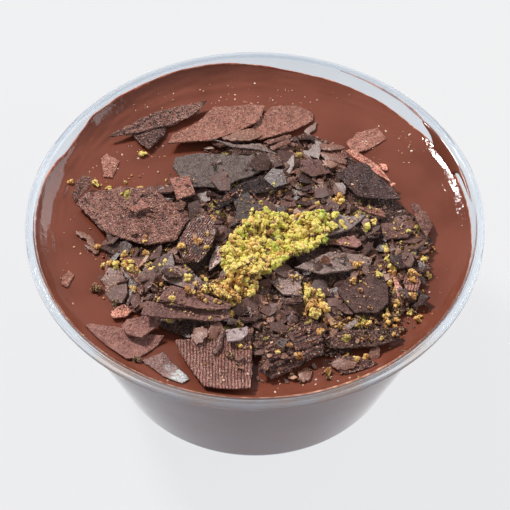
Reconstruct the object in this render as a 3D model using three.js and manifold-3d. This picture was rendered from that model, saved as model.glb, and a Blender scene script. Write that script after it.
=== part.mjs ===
// A clear plastic dessert cup, filled almost to its lip with chocolate cream, under a low heap of
// chocolate shavings with chopped pistachio on top.
// Millimetres, +Z up. The origin is the bottom centre of the cup, +X is to the viewer's right and
// +Y points away from the viewer.

import * as THREE from 'three';
import { mergeVertices } from 'three/addons/utils/BufferGeometryUtils.js';
import Module from 'manifold-3d';

const wasm = await Module();
wasm.setup();

// ---------------------------------------------------------------------------------------------
// Driving dimensions
// ---------------------------------------------------------------------------------------------

const GAP = 0.3;                      // air left between any two nodes
const AROUND = 60;                    // flats round the cup and its contents
const MERGE = 0.04;                   // edges shorter than this are merged where pieces are fused
const GOLDEN_TURN = Math.PI * (3 - Math.sqrt(5));   // spreads things evenly round a centre

const CUP = {
  height: 52.5,
  rimRadius: 58.5,                    // a 117 mm lip
  wall: 0.6,
  lean: THREE.MathUtils.degToRad(19.6),
  lipRoll: 1.0,                       // radius of the turned-over lip, at the middle of the wall
  lipSkirt: 1.1,                      // the lip's straight drop below that roll
  footRoll: 2.0,                      // radius between base and wall
};

const CREAM = {
  level: 47.0,                        // the quiet middle of the surface
  flatRadius: 45.5,                   // outside this the surface climbs the wall
  wetLow: 47.3,                       // where the surface meets the wall at its lowest
  wetRange: 3.4,                      // and how much more at its highest
  wetLowAt: THREE.MathUtils.degToRad(22),
  wetBump: 1.1,                       // one more smear up the wall at the back left
  wetBumpAt: THREE.MathUtils.degToRad(122),
  wetBumpWidth: THREE.MathUtils.degToRad(26),
};

const HEAP = {
  centre: [1.5, -4.5],
  reach: [43.5, 37.5, 37, 39, 33, 31.5, 29, 36, 39, 39.5, 37, 35, 36, 39.5, 42, 42.5],  // from +X round
  uneven: 0.7,                        // smaller waves of the outline
  edge: 0.7,                          // thickness at the outline
  crown: 1.6,                         // thickness in the middle
  rough: 0.3,
  chips: 52,                          // small shavings fused to the core
  chipSize: [2.4, 4.8],               // half their width
  chipThickness: 0.8,
  crumbs: 34,
  crumbSize: [0.75, 1.3],
};

const SHAVING = {
  thickness: 0.85,
  restWeight: 6,                      // how strongly a plate keeps level as it comes to rest
  rimShare: 0.72,                     // thickness at the broken edge, as a share
  jag: 0.42,                          // how far the broken edge wanders
  offWall: 1.2,                       // least distance kept from the cup's free inside
  sideRoom: 0.45,                     // least distance kept beside whatever stands higher
  step: 5.2,                          // distance between points of the broken edge
};

const GRAIN = { length: 1.25, breadth: 0.9 };   // half sizes of a piece of pistachio
const MOUND_EDGE = 0.8;               // thickness of a mound of grains at its outline

// ---------------------------------------------------------------------------------------------
// Numbers, noise and curves
// ---------------------------------------------------------------------------------------------

/** A seeded source of numbers from 0 to 1. */
function dice(seed) {
  let state = seed >>> 0;
  return () => {
    state = (state + 0x6d2b79f5) >>> 0;
    let mixed = Math.imul(state ^ (state >>> 15), 1 | state);
    mixed = (mixed + Math.imul(mixed ^ (mixed >>> 7), 61 | mixed)) ^ mixed;
    return ((mixed ^ (mixed >>> 14)) >>> 0) / 4294967296;
  };
}

/** A number between low and high. */
const between = (roll, low, high) => low + (high - low) * roll();

/** A slow wave over the plan, from about -1 to 1, for uneven surfaces. */
function waves(x, y, length, phase) {
  const a = Math.sin(x / length + phase) * Math.cos(y / length * 1.3 - phase);
  const b = Math.sin((x * 0.6 + y) / length * 2.1 + phase * 1.7);
  return 0.6 * a + 0.4 * b;
}

const smooth = (share) => THREE.MathUtils.smoothstep(share, 0, 1);

/** Shortest turn from one angle to another. */
const turn = (from, to) => Math.atan2(Math.sin(to - from), Math.cos(to - from));

// ---------------------------------------------------------------------------------------------
// Closed bodies
// ---------------------------------------------------------------------------------------------

/** A geometry from points and triples of indices. */
function bodyOf(points, faces) {
  const geometry = new THREE.BufferGeometry();
  geometry.setAttribute('position', new THREE.Float32BufferAttribute(points.flat(), 3));
  geometry.setIndex(faces.flat());
  return geometry;
}

/** A closed body of stacked rings, all with the same number of points, with a point at each end. */
function stackOfRings(lowest, rings, highest) {
  const points = [lowest, ...rings.flat(), highest];
  const around = rings[0].length;
  const top = points.length - 1;
  const faces = [];
  for (let i = 0; i < around; i += 1) {
    const next = (i + 1) % around;
    faces.push([0, 1 + next, 1 + i]);
    faces.push([top, 1 + (rings.length - 1) * around + i, 1 + (rings.length - 1) * around + next]);
    for (let k = 0; k + 1 < rings.length; k += 1) {
      const low = 1 + k * around;
      const high = low + around;
      faces.push([low + i, low + next, high + next]);
      faces.push([low + i, high + next, high + i]);
    }
  }
  return bodyOf(points, faces);
}

/** A solid for cutting and joining, from a closed geometry. */
function toSolid(geometry) {
  const bare = geometry.clone();
  bare.deleteAttribute('normal');
  bare.deleteAttribute('uv');
  const merged = mergeVertices(bare, 1e-4);
  return new wasm.Manifold(new wasm.Mesh({
    numProp: 3,
    vertProperties: new Float32Array(merged.attributes.position.array),
    triVerts: new Uint32Array(merged.index.array),
  }));
}

/** A base and all that is fused to it, as one body; what doesn't reach the base is dropped. */
function fuse(base, extras) {
  if (extras.length === 0) return base;
  const joined = wasm.Manifold.union([base, ...extras].map(toSolid));
  const pieces = joined.simplify(MERGE).decompose();
  const largest = pieces.reduce((best, piece) => (piece.volume() > best.volume() ? piece : best));
  const mesh = largest.getMesh();
  const geometry = new THREE.BufferGeometry();
  geometry.setAttribute('position', new THREE.BufferAttribute(mesh.vertProperties, 3));
  geometry.setIndex(new THREE.BufferAttribute(mesh.triVerts, 1));
  return geometry;
}

// ---------------------------------------------------------------------------------------------
// The cup
// ---------------------------------------------------------------------------------------------

/** Points with outward normals along an arc in the (radius, height) plane. */
function arcOf(centre, radius, from, to, steps, side) {
  return Array.from({ length: steps + 1 }, (_, i) => {
    const angle = from + (to - from) * i / steps;
    const spoke = new THREE.Vector2(Math.cos(angle), Math.sin(angle));
    return { at: centre.clone().addScaledVector(spoke, radius), out: spoke.multiplyScalar(side) };
  });
}

/** The middle line of the cup's wall, from the base's centre to the end of the lip's skirt. */
function wallLine() {
  const half = CUP.wall / 2;
  const outward = new THREE.Vector2(Math.cos(CUP.lean), -Math.sin(CUP.lean));
  const lipCentre = new THREE.Vector2(
    CUP.rimRadius - half - CUP.lipRoll,
    CUP.height - half - CUP.lipRoll,
  );
  const wallTop = lipCentre.clone().addScaledVector(outward, -CUP.lipRoll);
  const footHeight = half + CUP.footRoll;
  const footEnd = footHeight + outward.y * CUP.footRoll;
  const footRadius = wallTop.x - (wallTop.y - footEnd) * Math.tan(CUP.lean) - outward.x * CUP.footRoll;
  const skirtEnd = new THREE.Vector2(lipCentre.x + CUP.lipRoll, lipCentre.y - CUP.lipSkirt);
  return {
    foot: arcOf(new THREE.Vector2(footRadius, footHeight), CUP.footRoll, -Math.PI / 2, -CUP.lean, 2, 1),
    lip: arcOf(lipCentre, CUP.lipRoll, Math.PI - CUP.lean, 0, 4, -1),
    skirtEnd: { at: skirtEnd, out: new THREE.Vector2(-1, 0) },
    wallTop,
  };
}

const LINE = wallLine();

/** Radius of the wall's middle line at a height. */
const wallRadius = (z) => LINE.wallTop.x - (LINE.wallTop.y - z) * Math.tan(CUP.lean);

/** Radius of the free space inside the wall at a height, with the gap taken off. */
const innerRadius = (z) => wallRadius(z) - (CUP.wall / 2 + GAP) / Math.cos(CUP.lean);

/** The cup: its wall line thickened to both sides and turned about the axis. */
function cupGeometry() {
  const half = CUP.wall / 2;
  const line = [...LINE.foot, ...LINE.lip, LINE.skirtEnd];
  const outside = line.map(({ at, out }) => at.clone().addScaledVector(out, half));
  const inside = line.map(({ at, out }) => at.clone().addScaledVector(out, -half));
  const profile = [
    new THREE.Vector2(0, 0),
    ...outside,
    ...inside.reverse(),
    new THREE.Vector2(0, CUP.wall),
  ];
  return new THREE.LatheGeometry(profile, AROUND).rotateX(Math.PI / 2);
}

// ---------------------------------------------------------------------------------------------
// The chocolate cream
// ---------------------------------------------------------------------------------------------

/** Height at which the cream meets the wall, in a direction from the axis. */
function wetHeight(angle) {
  const round = 0.5 - 0.5 * Math.cos(turn(CREAM.wetLowAt, angle));
  const offset = turn(CREAM.wetBumpAt, angle) / CREAM.wetBumpWidth;
  return CREAM.wetLow + CREAM.wetRange * round + CREAM.wetBump * Math.exp(-offset * offset);
}

/** Height of the cream's surface over a place. */
function creamHeight(x, y) {
  const radius = Math.hypot(x, y);
  const wet = wetHeight(Math.atan2(y, x));
  const share = THREE.MathUtils.clamp(
    (radius - CREAM.flatRadius) / (innerRadius(wet) - CREAM.flatRadius), 0, 1,
  );
  return CREAM.level + (wet - CREAM.level) * share * share * share;
}

/** The cream: the cup's free inside, closed by the uneven surface. */
function creamGeometry() {
  const inset = CUP.wall / 2 + GAP;
  const angles = Array.from({ length: AROUND }, (_, i) => 2 * Math.PI * i / AROUND);
  const ring = (radiusAt, heightAt) => angles.map((angle) => {
    const radius = radiusAt(angle);
    const x = radius * Math.cos(angle);
    const y = radius * Math.sin(angle);
    return [x, y, heightAt(angle, x, y)];
  });
  const foot = LINE.foot.map(({ at, out }) => at.clone().addScaledVector(out, -inset));
  const rim = (angle) => innerRadius(wetHeight(angle));
  const rings = foot.map((point) => ring(() => point.x, () => point.y));
  rings.push(ring(rim, wetHeight));
  for (const share of [0.985, 0.96, 0.92, 0.87, 0.82, 0.5]) {
    rings.push(ring((angle) => share * rim(angle), (_, x, y) => creamHeight(x, y)));
  }
  return stackOfRings([0, 0, CUP.wall + GAP], rings, [0, 0, CREAM.level]);
}

// ---------------------------------------------------------------------------------------------
// The relief: how high everything in the cup reaches so far, as a raster over the plan
// ---------------------------------------------------------------------------------------------

class Relief {
  constructor(halfWidth, cell) {
    this.halfWidth = halfWidth;
    this.cell = cell;
    this.count = Math.ceil(2 * halfWidth / cell);
    this.height = new Float32Array(this.count * this.count).fill(-Infinity);
    this.owner = new Array(this.count * this.count).fill(null);
  }

  column(value) {
    return THREE.MathUtils.clamp(Math.floor((value + this.halfWidth) / this.cell), 0, this.count - 1);
  }

  /** Raises the raster to a surface given as a function of place. */
  flood(heightAt, owner) {
    for (let row = 0; row < this.count; row += 1) {
      for (let column = 0; column < this.count; column += 1) {
        const x = (column + 0.5) * this.cell - this.halfWidth;
        const y = (row + 0.5) * this.cell - this.halfWidth;
        this.raise(x, y, heightAt(x, y), owner);
      }
    }
  }

  raise(x, y, z, owner) {
    const at = this.column(y) * this.count + this.column(x);
    if (z <= this.height[at]) return;
    this.height[at] = z;
    this.owner[at] = owner;
  }

  /** Raises the raster to the top of a body. */
  cover(geometry, owner) {
    sampleFaces(geometry, (x, y, z) => this.raise(x, y, z, owner));
  }

  /** The highest point within a distance of a place. */
  top(x, y, reach) {
    let highest = -Infinity;
    for (let row = this.column(y - reach); row <= this.column(y + reach); row += 1) {
      for (let column = this.column(x - reach); column <= this.column(x + reach); column += 1) {
        highest = Math.max(highest, this.height[row * this.count + column]);
      }
    }
    return highest;
  }

  /** What lies on top at a place. */
  ownerAt(x, y) {
    return this.owner[this.column(y) * this.count + this.column(x)];
  }
}

/** Visits points over every face of a geometry, close enough together to reach every cell. */
function sampleFaces(geometry, visit) {
  const spacing = 0.35;
  const position = geometry.attributes.position;
  const index = geometry.index.array;
  const corner = [new THREE.Vector3(), new THREE.Vector3(), new THREE.Vector3()];
  for (let face = 0; face < index.length; face += 3) {
    corner.forEach((point, k) => point.fromBufferAttribute(position, index[face + k]));
    const [a, b, c] = corner;
    const span = Math.max(a.distanceTo(b), b.distanceTo(c), c.distanceTo(a));
    const steps = Math.ceil(span / spacing);
    for (let i = 0; i <= steps; i += 1) {
      for (let j = 0; j <= steps - i; j += 1) {
        const u = i / steps;
        const v = j / steps;
        const w = 1 - u - v;
        visit(w * a.x + u * b.x + v * c.x, w * a.y + u * b.y + v * c.y, w * a.z + u * b.z + v * c.z);
      }
    }
  }
}

// ---------------------------------------------------------------------------------------------
// Shavings: thin, slightly bent plates with a broken outline
// ---------------------------------------------------------------------------------------------

/** Centre of area of a polygon. */
function middleOf(corners) {
  let area = 0;
  let x = 0;
  let y = 0;
  corners.forEach(([ax, ay], i) => {
    const [bx, by] = corners[(i + 1) % corners.length];
    const cross = ax * by - bx * ay;
    area += cross / 2;
    x += (ax + bx) * cross / 6;
    y += (ay + by) * cross / 6;
  });
  return [x / area, y / area];
}

/** The corners in counterclockwise order. */
function counterclockwise(corners) {
  const [x, y] = middleOf(corners);
  const swept = corners.reduce((sum, [ax, ay], i) => {
    const [bx, by] = corners[(i + 1) % corners.length];
    return sum + (ax - x) * (by - y) - (bx - x) * (ay - y);
  }, 0);
  return swept > 0 ? corners : [...corners].reverse();
}

/** A broken outline: the corners with points in between, each moved a little in or out. */
function brokenOutline(corners, step, jag, roll) {
  const outline = [];
  const [middleX, middleY] = middleOf(corners);
  corners.forEach(([ax, ay], i) => {
    const [bx, by] = corners[(i + 1) % corners.length];
    const pieces = Math.max(1, Math.round(Math.hypot(bx - ax, by - ay) / step));
    for (let k = 0; k < pieces; k += 1) {
      const share = (k + (k > 0 ? between(roll, -0.25, 0.25) : 0)) / pieces;
      const x = ax + (bx - ax) * share;
      const y = ay + (by - ay) * share;
      const distance = Math.hypot(x - middleX, y - middleY);
      const grow = 1 + between(roll, -jag, jag) / distance;
      outline.push(keptOffWall(middleX + (x - middleX) * grow, middleY + (y - middleY) * grow));
    }
  });
  return outline;
}

/** A place moved towards the axis, if need be, to stay off the cup's wall. */
function keptOffWall(x, y) {
  const limit = innerRadius(CREAM.level) - SHAVING.offWall;
  const shrink = Math.min(1, limit / Math.hypot(x, y));
  return [x * shrink, y * shrink];
}

/**
 * A plate over a plan outline. Its top is the plane through `height` at the middle with the two
 * `slopes`, lifted at the sides by `sag` across and `bow` along the heading; its edge is thinner.
 */
function plateGeometry({ outline, height, slopes, sag, bow, heading, thickness, folds }) {
  const [middleX, middleY] = middleOf(outline);
  const along = [Math.cos(heading), Math.sin(heading)];
  const local = outline.map(([x, y]) => [
    (x - middleX) * along[0] + (y - middleY) * along[1],
    (y - middleY) * along[0] - (x - middleX) * along[1],
  ]);
  const halfLength = Math.max(...local.map(([s]) => Math.abs(s)));
  const halfWidth = Math.max(...local.map(([, t]) => Math.abs(t)));
  const upright = Math.hypot(1, ...slopes);
  const around = outline.length;
  const top = [];
  const bottom = [];
  const shares = folds ? [1, 0.55] : [1];
  shares.forEach((share) => outline.forEach(([x, y], i) => {
    const offsetX = (x - middleX) * share;
    const offsetY = (y - middleY) * share;
    const [s, t] = local[i];
    const curl = sag * (t * share / halfWidth) ** 2 + bow * (s * share / halfLength) ** 2;
    const z = height + slopes[0] * offsetX + slopes[1] * offsetY + curl;
    const thick = thickness * (share === 1 ? SHAVING.rimShare : 1) * upright;
    top.push([middleX + offsetX, middleY + offsetY, z]);
    bottom.push([middleX + offsetX, middleY + offsetY, z - thick]);
  }));
  top.push([middleX, middleY, height]);
  bottom.push([middleX, middleY, height - thickness * upright]);
  const under = top.length;
  const centre = under - 1;
  const faces = [];
  const bothSides = (a, b, c) => {
    faces.push([a, b, c]);
    faces.push([under + a, under + c, under + b]);
  };
  for (let i = 0; i < around; i += 1) {
    const next = (i + 1) % around;
    if (folds) {
      bothSides(i, next, around + next);
      bothSides(i, around + next, around + i);
      bothSides(around + i, around + next, centre);
    } else {
      bothSides(i, next, centre);
    }
    faces.push([i, under + i, under + next]);
    faces.push([i, under + next, next]);
  }
  return bodyOf([...top, ...bottom], faces);
}

/** How far a body has to rise to lie clear on the relief. */
function riseToClear(geometry, relief) {
  let rise = -Infinity;
  sampleFaces(geometry, (x, y, z) => {
    rise = Math.max(rise, relief.top(x, y, SHAVING.sideRoom) + GAP - z);
  });
  return rise;
}

/** A plate laid on the relief with the slopes that let it rest both low and level. */
function settledPlate(plate, tilt, relief) {
  const grades = [-0.18, -0.12, -0.06, 0, 0.06, 0.12, 0.18];
  let best = null;
  for (const east of grades) {
    for (const north of grades) {
      const slopes = [east, north];
      const rise = riseToClear(plateGeometry({ ...plate, slopes, height: 0 }), relief);
      const cost = rise + SHAVING.restWeight * Math.hypot(east, north);
      if (best === null || cost < best.cost) best = { slopes, cost };
    }
  }
  const slopes = [best.slopes[0] + tilt[0], best.slopes[1] + tilt[1]];
  const rise = riseToClear(plateGeometry({ ...plate, slopes, height: 0 }), relief);
  return plateGeometry({ ...plate, slopes, height: rise });
}

// The large shavings in the order in which they lie, lowest first. Corners in millimetres on the
// plan. `heading` is the direction of the long side in degrees, `sag` lifts the long edges, `bow`
// the ends, and `tilt` leans the plate beyond its resting slopes.
const LARGE_SHAVINGS = [
  { name: 'chip_on_cream_left', look: 'pale', heading: 70,
    corners: [[-49, -16], [-47, -13.5], [-45.5, -15], [-47, -20], [-48.5, -18.5]] },
  { name: 'chip_on_cream_back_left', look: 'pale', heading: 80,
    corners: [[-40.5, 24], [-39, 25.5], [-35.5, 23], [-37, 17], [-39.5, 17.5]] },
  { name: 'chip_left_round', look: 'brown', heading: 100,
    corners: [[-38.5, -12.2], [-35.7, -11.6], [-34.4, -13.5], [-34.9, -15.8], [-37.4, -16.4]] },
  { name: 'chip_left_long', look: 'brown', heading: -60,
    corners: [[-34.2, -10], [-32.2, -9.3], [-30.9, -11.6], [-29.1, -17.1], [-30.9, -17.8], [-32.9, -14.8]] },
  { name: 'chip_on_cream_right', look: 'pale', heading: 110,
    corners: [[32.5, 22], [34.5, 22], [35, 19.5], [33.5, 19.5]] },
  { name: 'shaving_front_left', look: 'brown', heading: -20, sag: 0.5,
    corners: [[-42, -32], [-41, -30.5], [-32, -32], [-22, -35], [-24, -37.5], [-28.5, -41.5], [-31.5, -43],
      [-37.5, -39]] },
  { name: 'shaving_front_glossy', look: 'grey', heading: -38, sag: 0.3, tilt: [-0.12, 0],
    corners: [[-27.5, -42], [-25.5, -40], [-22.5, -39], [-19, -43], [-15.5, -47.5], [-17.5, -50],
      [-22, -47.5]] },
  { name: 'shaving_front_ridged', look: 'brown', heading: 90, sag: 0.6, bow: 0.6,
    corners: [[-19.5, -37.5], [-15.5, -37], [-15.5, -34], [-12, -33], [-9.5, -31.5], [-7.5, -34.5], [-1, -34],
      [-0.5, -40], [-1, -52], [-9, -52], [-12.5, -51.5], [-16, -46]] },
  { name: 'shaving_back_shard', look: 'dark', heading: 20, sag: 0.5,
    corners: [[-33, 32.5], [-29, 35.5], [-23, 36], [-23.5, 31.5], [-28, 26.5], [-30, 28.5]] },
  { name: 'shaving_left_curl', look: 'brown', heading: 55, sag: 0.9, tilt: [0.1, 0.35],
    corners: [[-47.5, 10], [-46, 13.5], [-44, 15.5], [-42, 14.5], [-42.5, 12], [-46.5, 8]] },
  { name: 'shaving_left_broad', look: 'brown', heading: -8, sag: 1.0, bow: 0.4,
    corners: [[-46, 7], [-44, 10.5], [-34.5, 12.5], [-26, 10.5], [-18.5, 5], [-16.5, 1], [-20, -6.5],
      [-27.5, -8.5], [-34, -5.5], [-39.5, -2.5], [-41.5, 2]] },
  { name: 'shaving_right_pale', look: 'pale', heading: 25, sag: 0.3,
    corners: [[23.5, 29], [27, 33.5], [32.5, 35], [35, 31], [30.5, 27.5], [26, 24.5]] },
  { name: 'shaving_back_twist', look: 'brown', heading: -15, sag: 0.8,
    corners: [[17, 25.5], [22, 26.5], [24.5, 23], [22.5, 20.5], [18, 22.5]] },
  { name: 'shaving_right_sliver', look: 'pale', heading: -42, sag: 0.4, tilt: [0.1, 0.2],
    corners: [[23, 24.5], [26, 24], [32.5, 18.5], [36, 13], [31.5, 16.5], [25.5, 21.5]] },
  { name: 'shaving_right_speckled', look: 'dark', heading: -30, sag: 0.8,
    corners: [[20.5, 16], [26.5, 19], [29, 19], [35, 11.5], [37.5, 7.5], [33.5, 7], [26.5, 7.5],
      [23, 12.5]] },
  { name: 'shaving_right_edge', look: 'brown', heading: -65, sag: 0.5,
    corners: [[40, 6.5], [42, 7], [45, 2], [45.5, -0.5], [43.5, -5], [41.5, 0.5]] },
  { name: 'shaving_right_brown', look: 'brown', heading: 5, sag: 0.4,
    corners: [[32, -0.5], [39, 0], [40.5, -3], [39, -5.5], [32.5, -6]] },
  { name: 'shaving_lower_right_smooth', look: 'brown', heading: 45, sag: -0.4,
    corners: [[20, -22.5], [23.5, -16.5], [31, -14.5], [33, -22.5], [33, -26], [30.5, -29.5],
      [24.5, -29.5]] },
  { name: 'shaving_lower_right_ridged', look: 'grey', heading: 80, sag: 0.3,
    corners: [[37, -19.5], [38.5, -16], [40.5, -17], [41.5, -19.5], [40.5, -22.5], [37.5, -22]] },
  { name: 'shaving_lower_right_sliver', look: 'brown', heading: -65, sag: 0.2, tilt: [-0.2, 0],
    corners: [[34.2, -18], [35.8, -19], [37.2, -24.5], [35.2, -25]] },
  { name: 'shaving_front_right_low', look: 'brown', heading: -15, sag: 0.4,
    corners: [[18.5, -44], [19.5, -41], [25.5, -41], [31, -44.5], [29, -46], [22, -46.5]] },
  { name: 'shaving_front_right', look: 'dark', heading: 3, sag: 0.6, tilt: [0, 0.12],
    corners: [[18, -39.5], [18.5, -36], [22, -34], [28, -34.5], [35, -33.5], [36, -36.5], [29.5, -39],
      [23, -39.5]] },
  { name: 'curl_front_striped', look: 'dark', heading: 22, sag: -1.6, bow: 0.5,
    corners: [[0.8, -46.5], [1.5, -41.5], [6.5, -35], [14, -32], [16, -34.5], [17, -38], [17, -41.5],
      [10, -45], [4, -48]] },
  { name: 'chip_on_curl', look: 'grey', heading: 40,
    corners: [[5, -39.5], [6.5, -38], [8.2, -38.5], [7, -41.5]] },
  { name: 'shaving_front_patch', look: 'grey', heading: 10, sag: 0.2,
    corners: [[-7.5, -35.5], [-1.5, -34.5], [-1.5, -37], [-3.5, -39.5], [-7, -39.5]] },
  { name: 'shaving_back_thin', look: 'grey', heading: -20, sag: 0.2,
    corners: [[-12, 28.5], [-5, 26], [1.5, 26.5], [7, 22], [1, 24.2], [-6.5, 25]] },
  { name: 'shaving_centre_grey', look: 'grey', heading: 2, sag: 0.7,
    corners: [[-21.5, 18], [-21, 21.5], [-14.5, 22.5], [-2, 21.8], [-0.5, 22.6], [3, 17.5], [-4.5, 13],
      [-8.5, 10.5], [-17, 11]] },
  { name: 'shaving_back_right_pale', look: 'pale', heading: 21, sag: 0.6, tilt: [0, -0.1],
    corners: [[-2.5, 32.5], [2, 39], [4.5, 42], [11, 43], [16, 40], [16, 37.5], [10, 32.5], [1, 28.5]] },
  { name: 'shaving_back_left_pale', look: 'pale', heading: 27, sag: 0.6,
    corners: [[-23.5, 27], [-22, 30.5], [-15, 35], [-11, 41], [-1.5, 42], [3, 42], [1, 36], [-3, 32.5],
      [-11.5, 28.5]] },
  { name: 'curl_back', look: 'grey', heading: 25, sag: 0.5, tilt: [-0.25, 0.55],
    corners: [[-39, 30], [-34.5, 33.5], [-29.5, 36.5], [-18.5, 41], [-12.5, 43], [-15, 39], [-22.5, 34.5],
      [-30.5, 32]] },
  { name: 'shaving_back_middle', look: 'brown', heading: 0, sag: 0.4,
    corners: [[11.5, 18], [12, 21.5], [17, 21.5], [20, 17], [15, 15]] },
  { name: 'shaving_left_square', look: 'brown', heading: -25, sag: 0.3,
    corners: [[-22, 13], [-17, 13.5], [-15, 7.5], [-20, 5.5]] },
  { name: 'chip_left_dark', look: 'grey', heading: 5,
    corners: [[-32.5, 3], [-29, 6], [-26.5, 4], [-30.5, 2]] },
  { name: 'shaving_left_tip', look: 'pale', heading: 5, sag: 0.3,
    corners: [[-36, -28], [-35, -26], [-32.5, -25], [-30, -27], [-32, -29], [-35.5, -29.5]] },
  { name: 'shaving_left_low', look: 'brown', heading: -10, sag: 0.5,
    corners: [[-33.5, -32.3], [-31.5, -30.6], [-26, -29.8], [-23, -32.3], [-28, -36.2], [-31.5, -35.3]] },
  { name: 'shaving_left_strip_low', look: 'grey', heading: -8, sag: 0.5,
    corners: [[-28, -31.7], [-27, -27.3], [-20, -28.8], [-6.5, -30.8], [-6.5, -32.6], [-10.5, -33.6],
      [-21.5, -32.8]] },
  { name: 'shaving_left_strip_high', look: 'grey', heading: -15, sag: 0.5, tilt: [0, 0.08],
    corners: [[-23.5, -28.3], [-22.5, -25.3], [-20.5, -23.8], [-12, -26.8], [-6, -29.3], [-6.5, -30.8],
      [-14.5, -30.8]] },
  { name: 'shaving_left_grey', look: 'grey', heading: -28, sag: 0.4,
    corners: [[-24, -18.5], [-22.5, -15], [-20, -14], [-16.5, -15.5], [-10.5, -22], [-9.5, -24],
      [-16, -22.5]] },
  { name: 'shard_centre_bright', look: 'grey', heading: 60, sag: 0.2, tilt: [0.1, 0.1],
    corners: [[-9.5, -8], [-7.5, -11.5], [-7.5, -13.5], [-11.5, -16], [-12, -14]] },
  { name: 'shaving_left_speckled', look: 'dark', heading: 60, sag: 0.5, tilt: [0.12, 0],
    corners: [[-20, -9.5], [-17, -3], [-13, 1.5], [-10.5, -1], [-9.5, -5], [-12, -12.5], [-14, -15.5],
      [-17.5, -15]] },
  { name: 'shaving_centre_dark', look: 'dark', heading: 40, sag: 0.8,
    corners: [[-10.5, 3], [-9.5, 6.5], [-4, 12], [3, 15.5], [6.5, 15], [8, 13], [3.5, 8.5],
      [-2.5, 8.5], [-7, 5]] },
  { name: 'shaving_centre_shard', look: 'grey', heading: -45, sag: 0.2,
    corners: [[-5.5, 5.5], [-2, 8.5], [2, 4], [4, 0.5], [2, -2], [-1.5, -0.5], [-6.5, -3.5], [-5, 1.5]] },
  { name: 'shaving_right_ridged', look: 'dark', heading: 0, sag: 0.6,
    corners: [[26, -1.5], [28, 0.5], [31.5, -1], [31.5, -6.5], [28.5, -6.5]] },
  { name: 'shaving_right_strip', look: 'brown', heading: -20, sag: 0.4,
    corners: [[26, 4.5], [32.5, 4], [34, 0.5], [30, 1.5]] },
  { name: 'shaving_middle_brown', look: 'brown', heading: -15, sag: 0.4,
    corners: [[19, -7.5], [21.5, -5.5], [25, -5], [27, -7.5], [25.5, -8.8]] },
  { name: 'shaving_middle_light', look: 'grey', heading: 5, sag: 0.5, tilt: [0, 0.12],
    corners: [[15, -1], [20, 1], [24, 0], [29, 0.5], [24, -4], [18.5, -6]] },
  { name: 'shaving_middle_lobe', look: 'grey', heading: -20, sag: 0.4, tilt: [0, 0.12],
    corners: [[2, -17.5], [10.5, -16.5], [12, -18.5], [11, -20.5], [12.5, -24.5], [7, -23.5], [3.5, -20]] },
  { name: 'shaving_middle_long', look: 'grey', heading: 12, sag: 0.5, tilt: [0, 0.12],
    corners: [[10, -16.5], [13, -15], [18.5, -11.5], [27, -12], [29.5, -13], [29, -15], [23, -17],
      [16, -18.5]] },
];

// ---------------------------------------------------------------------------------------------
// Small pieces that are fused to what they lie on
// ---------------------------------------------------------------------------------------------

/** A small angular lump. */
function lumpGeometry([x, y, z], [length, breadth], roll) {
  const round = new THREE.IcosahedronGeometry(1, 0);
  round.deleteAttribute('normal');
  round.deleteAttribute('uv');
  const lump = mergeVertices(round, 1e-4);
  const corners = lump.attributes.position;
  const point = new THREE.Vector3();
  for (let i = 0; i < corners.count; i += 1) {
    point.fromBufferAttribute(corners, i).multiplyScalar(between(roll, 0.82, 1.12));
    corners.setXYZ(i, point.x, point.y, point.z);
  }
  lump.scale(length, breadth, breadth * 0.9);
  lump.rotateX(between(roll, -0.6, 0.6));
  lump.rotateZ(between(roll, 0, Math.PI));
  lump.translate(x, y, z);
  return lump;
}

/** A small shaving of five to seven sides. */
function chipGeometry([x, y, z], size, roll) {
  const sides = 5 + Math.floor(3 * roll());
  const heading = between(roll, 0, Math.PI);
  const slender = between(roll, 0.45, 0.85);
  const outline = Array.from({ length: sides }, (_, i) => {
    const angle = 2 * Math.PI * (i + between(roll, -0.2, 0.2)) / sides;
    const s = size * Math.cos(angle) * between(roll, 0.85, 1.15);
    const t = size * slender * Math.sin(angle) * between(roll, 0.85, 1.15);
    return [
      x + s * Math.cos(heading) - t * Math.sin(heading),
      y + s * Math.sin(heading) + t * Math.cos(heading),
    ];
  });
  return plateGeometry({
    outline,
    height: z,
    slopes: [between(roll, -0.12, 0.12), between(roll, -0.1, 0.14)],
    sag: between(roll, -0.1, 0.25),
    bow: 0,
    heading,
    thickness: HEAP.chipThickness,
    folds: false,
  });
}

// ---------------------------------------------------------------------------------------------
// The heap's core with its chips and crumbs
// ---------------------------------------------------------------------------------------------

/** Radius of the heap's outline in a direction from its centre. */
function heapRadius(angle) {
  const count = HEAP.reach.length;
  const turns = angle / (2 * Math.PI);
  const place = (turns - Math.floor(turns)) * count;
  const from = Math.floor(place) % count;
  const reach = THREE.MathUtils.lerp(HEAP.reach[from], HEAP.reach[(from + 1) % count], smooth(place % 1));
  return reach + HEAP.uneven * Math.sin(11 * angle + 0.6);
}

/** Top of the heap's core at a share of the way out from its centre. */
function heapHeight(x, y, share) {
  const mound = HEAP.edge + (HEAP.crown - HEAP.edge) * (1 - share * share);
  return CREAM.level + GAP + mound + HEAP.rough * waves(x, y, 4.5, 0.4) * smooth(1.6 * (1 - share));
}

/** A place on the heap from an angle and a share of the way out. */
function heapPlace(angle, share) {
  const radius = heapRadius(angle) * share;
  return [HEAP.centre[0] + radius * Math.cos(angle), HEAP.centre[1] + radius * Math.sin(angle)];
}

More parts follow.
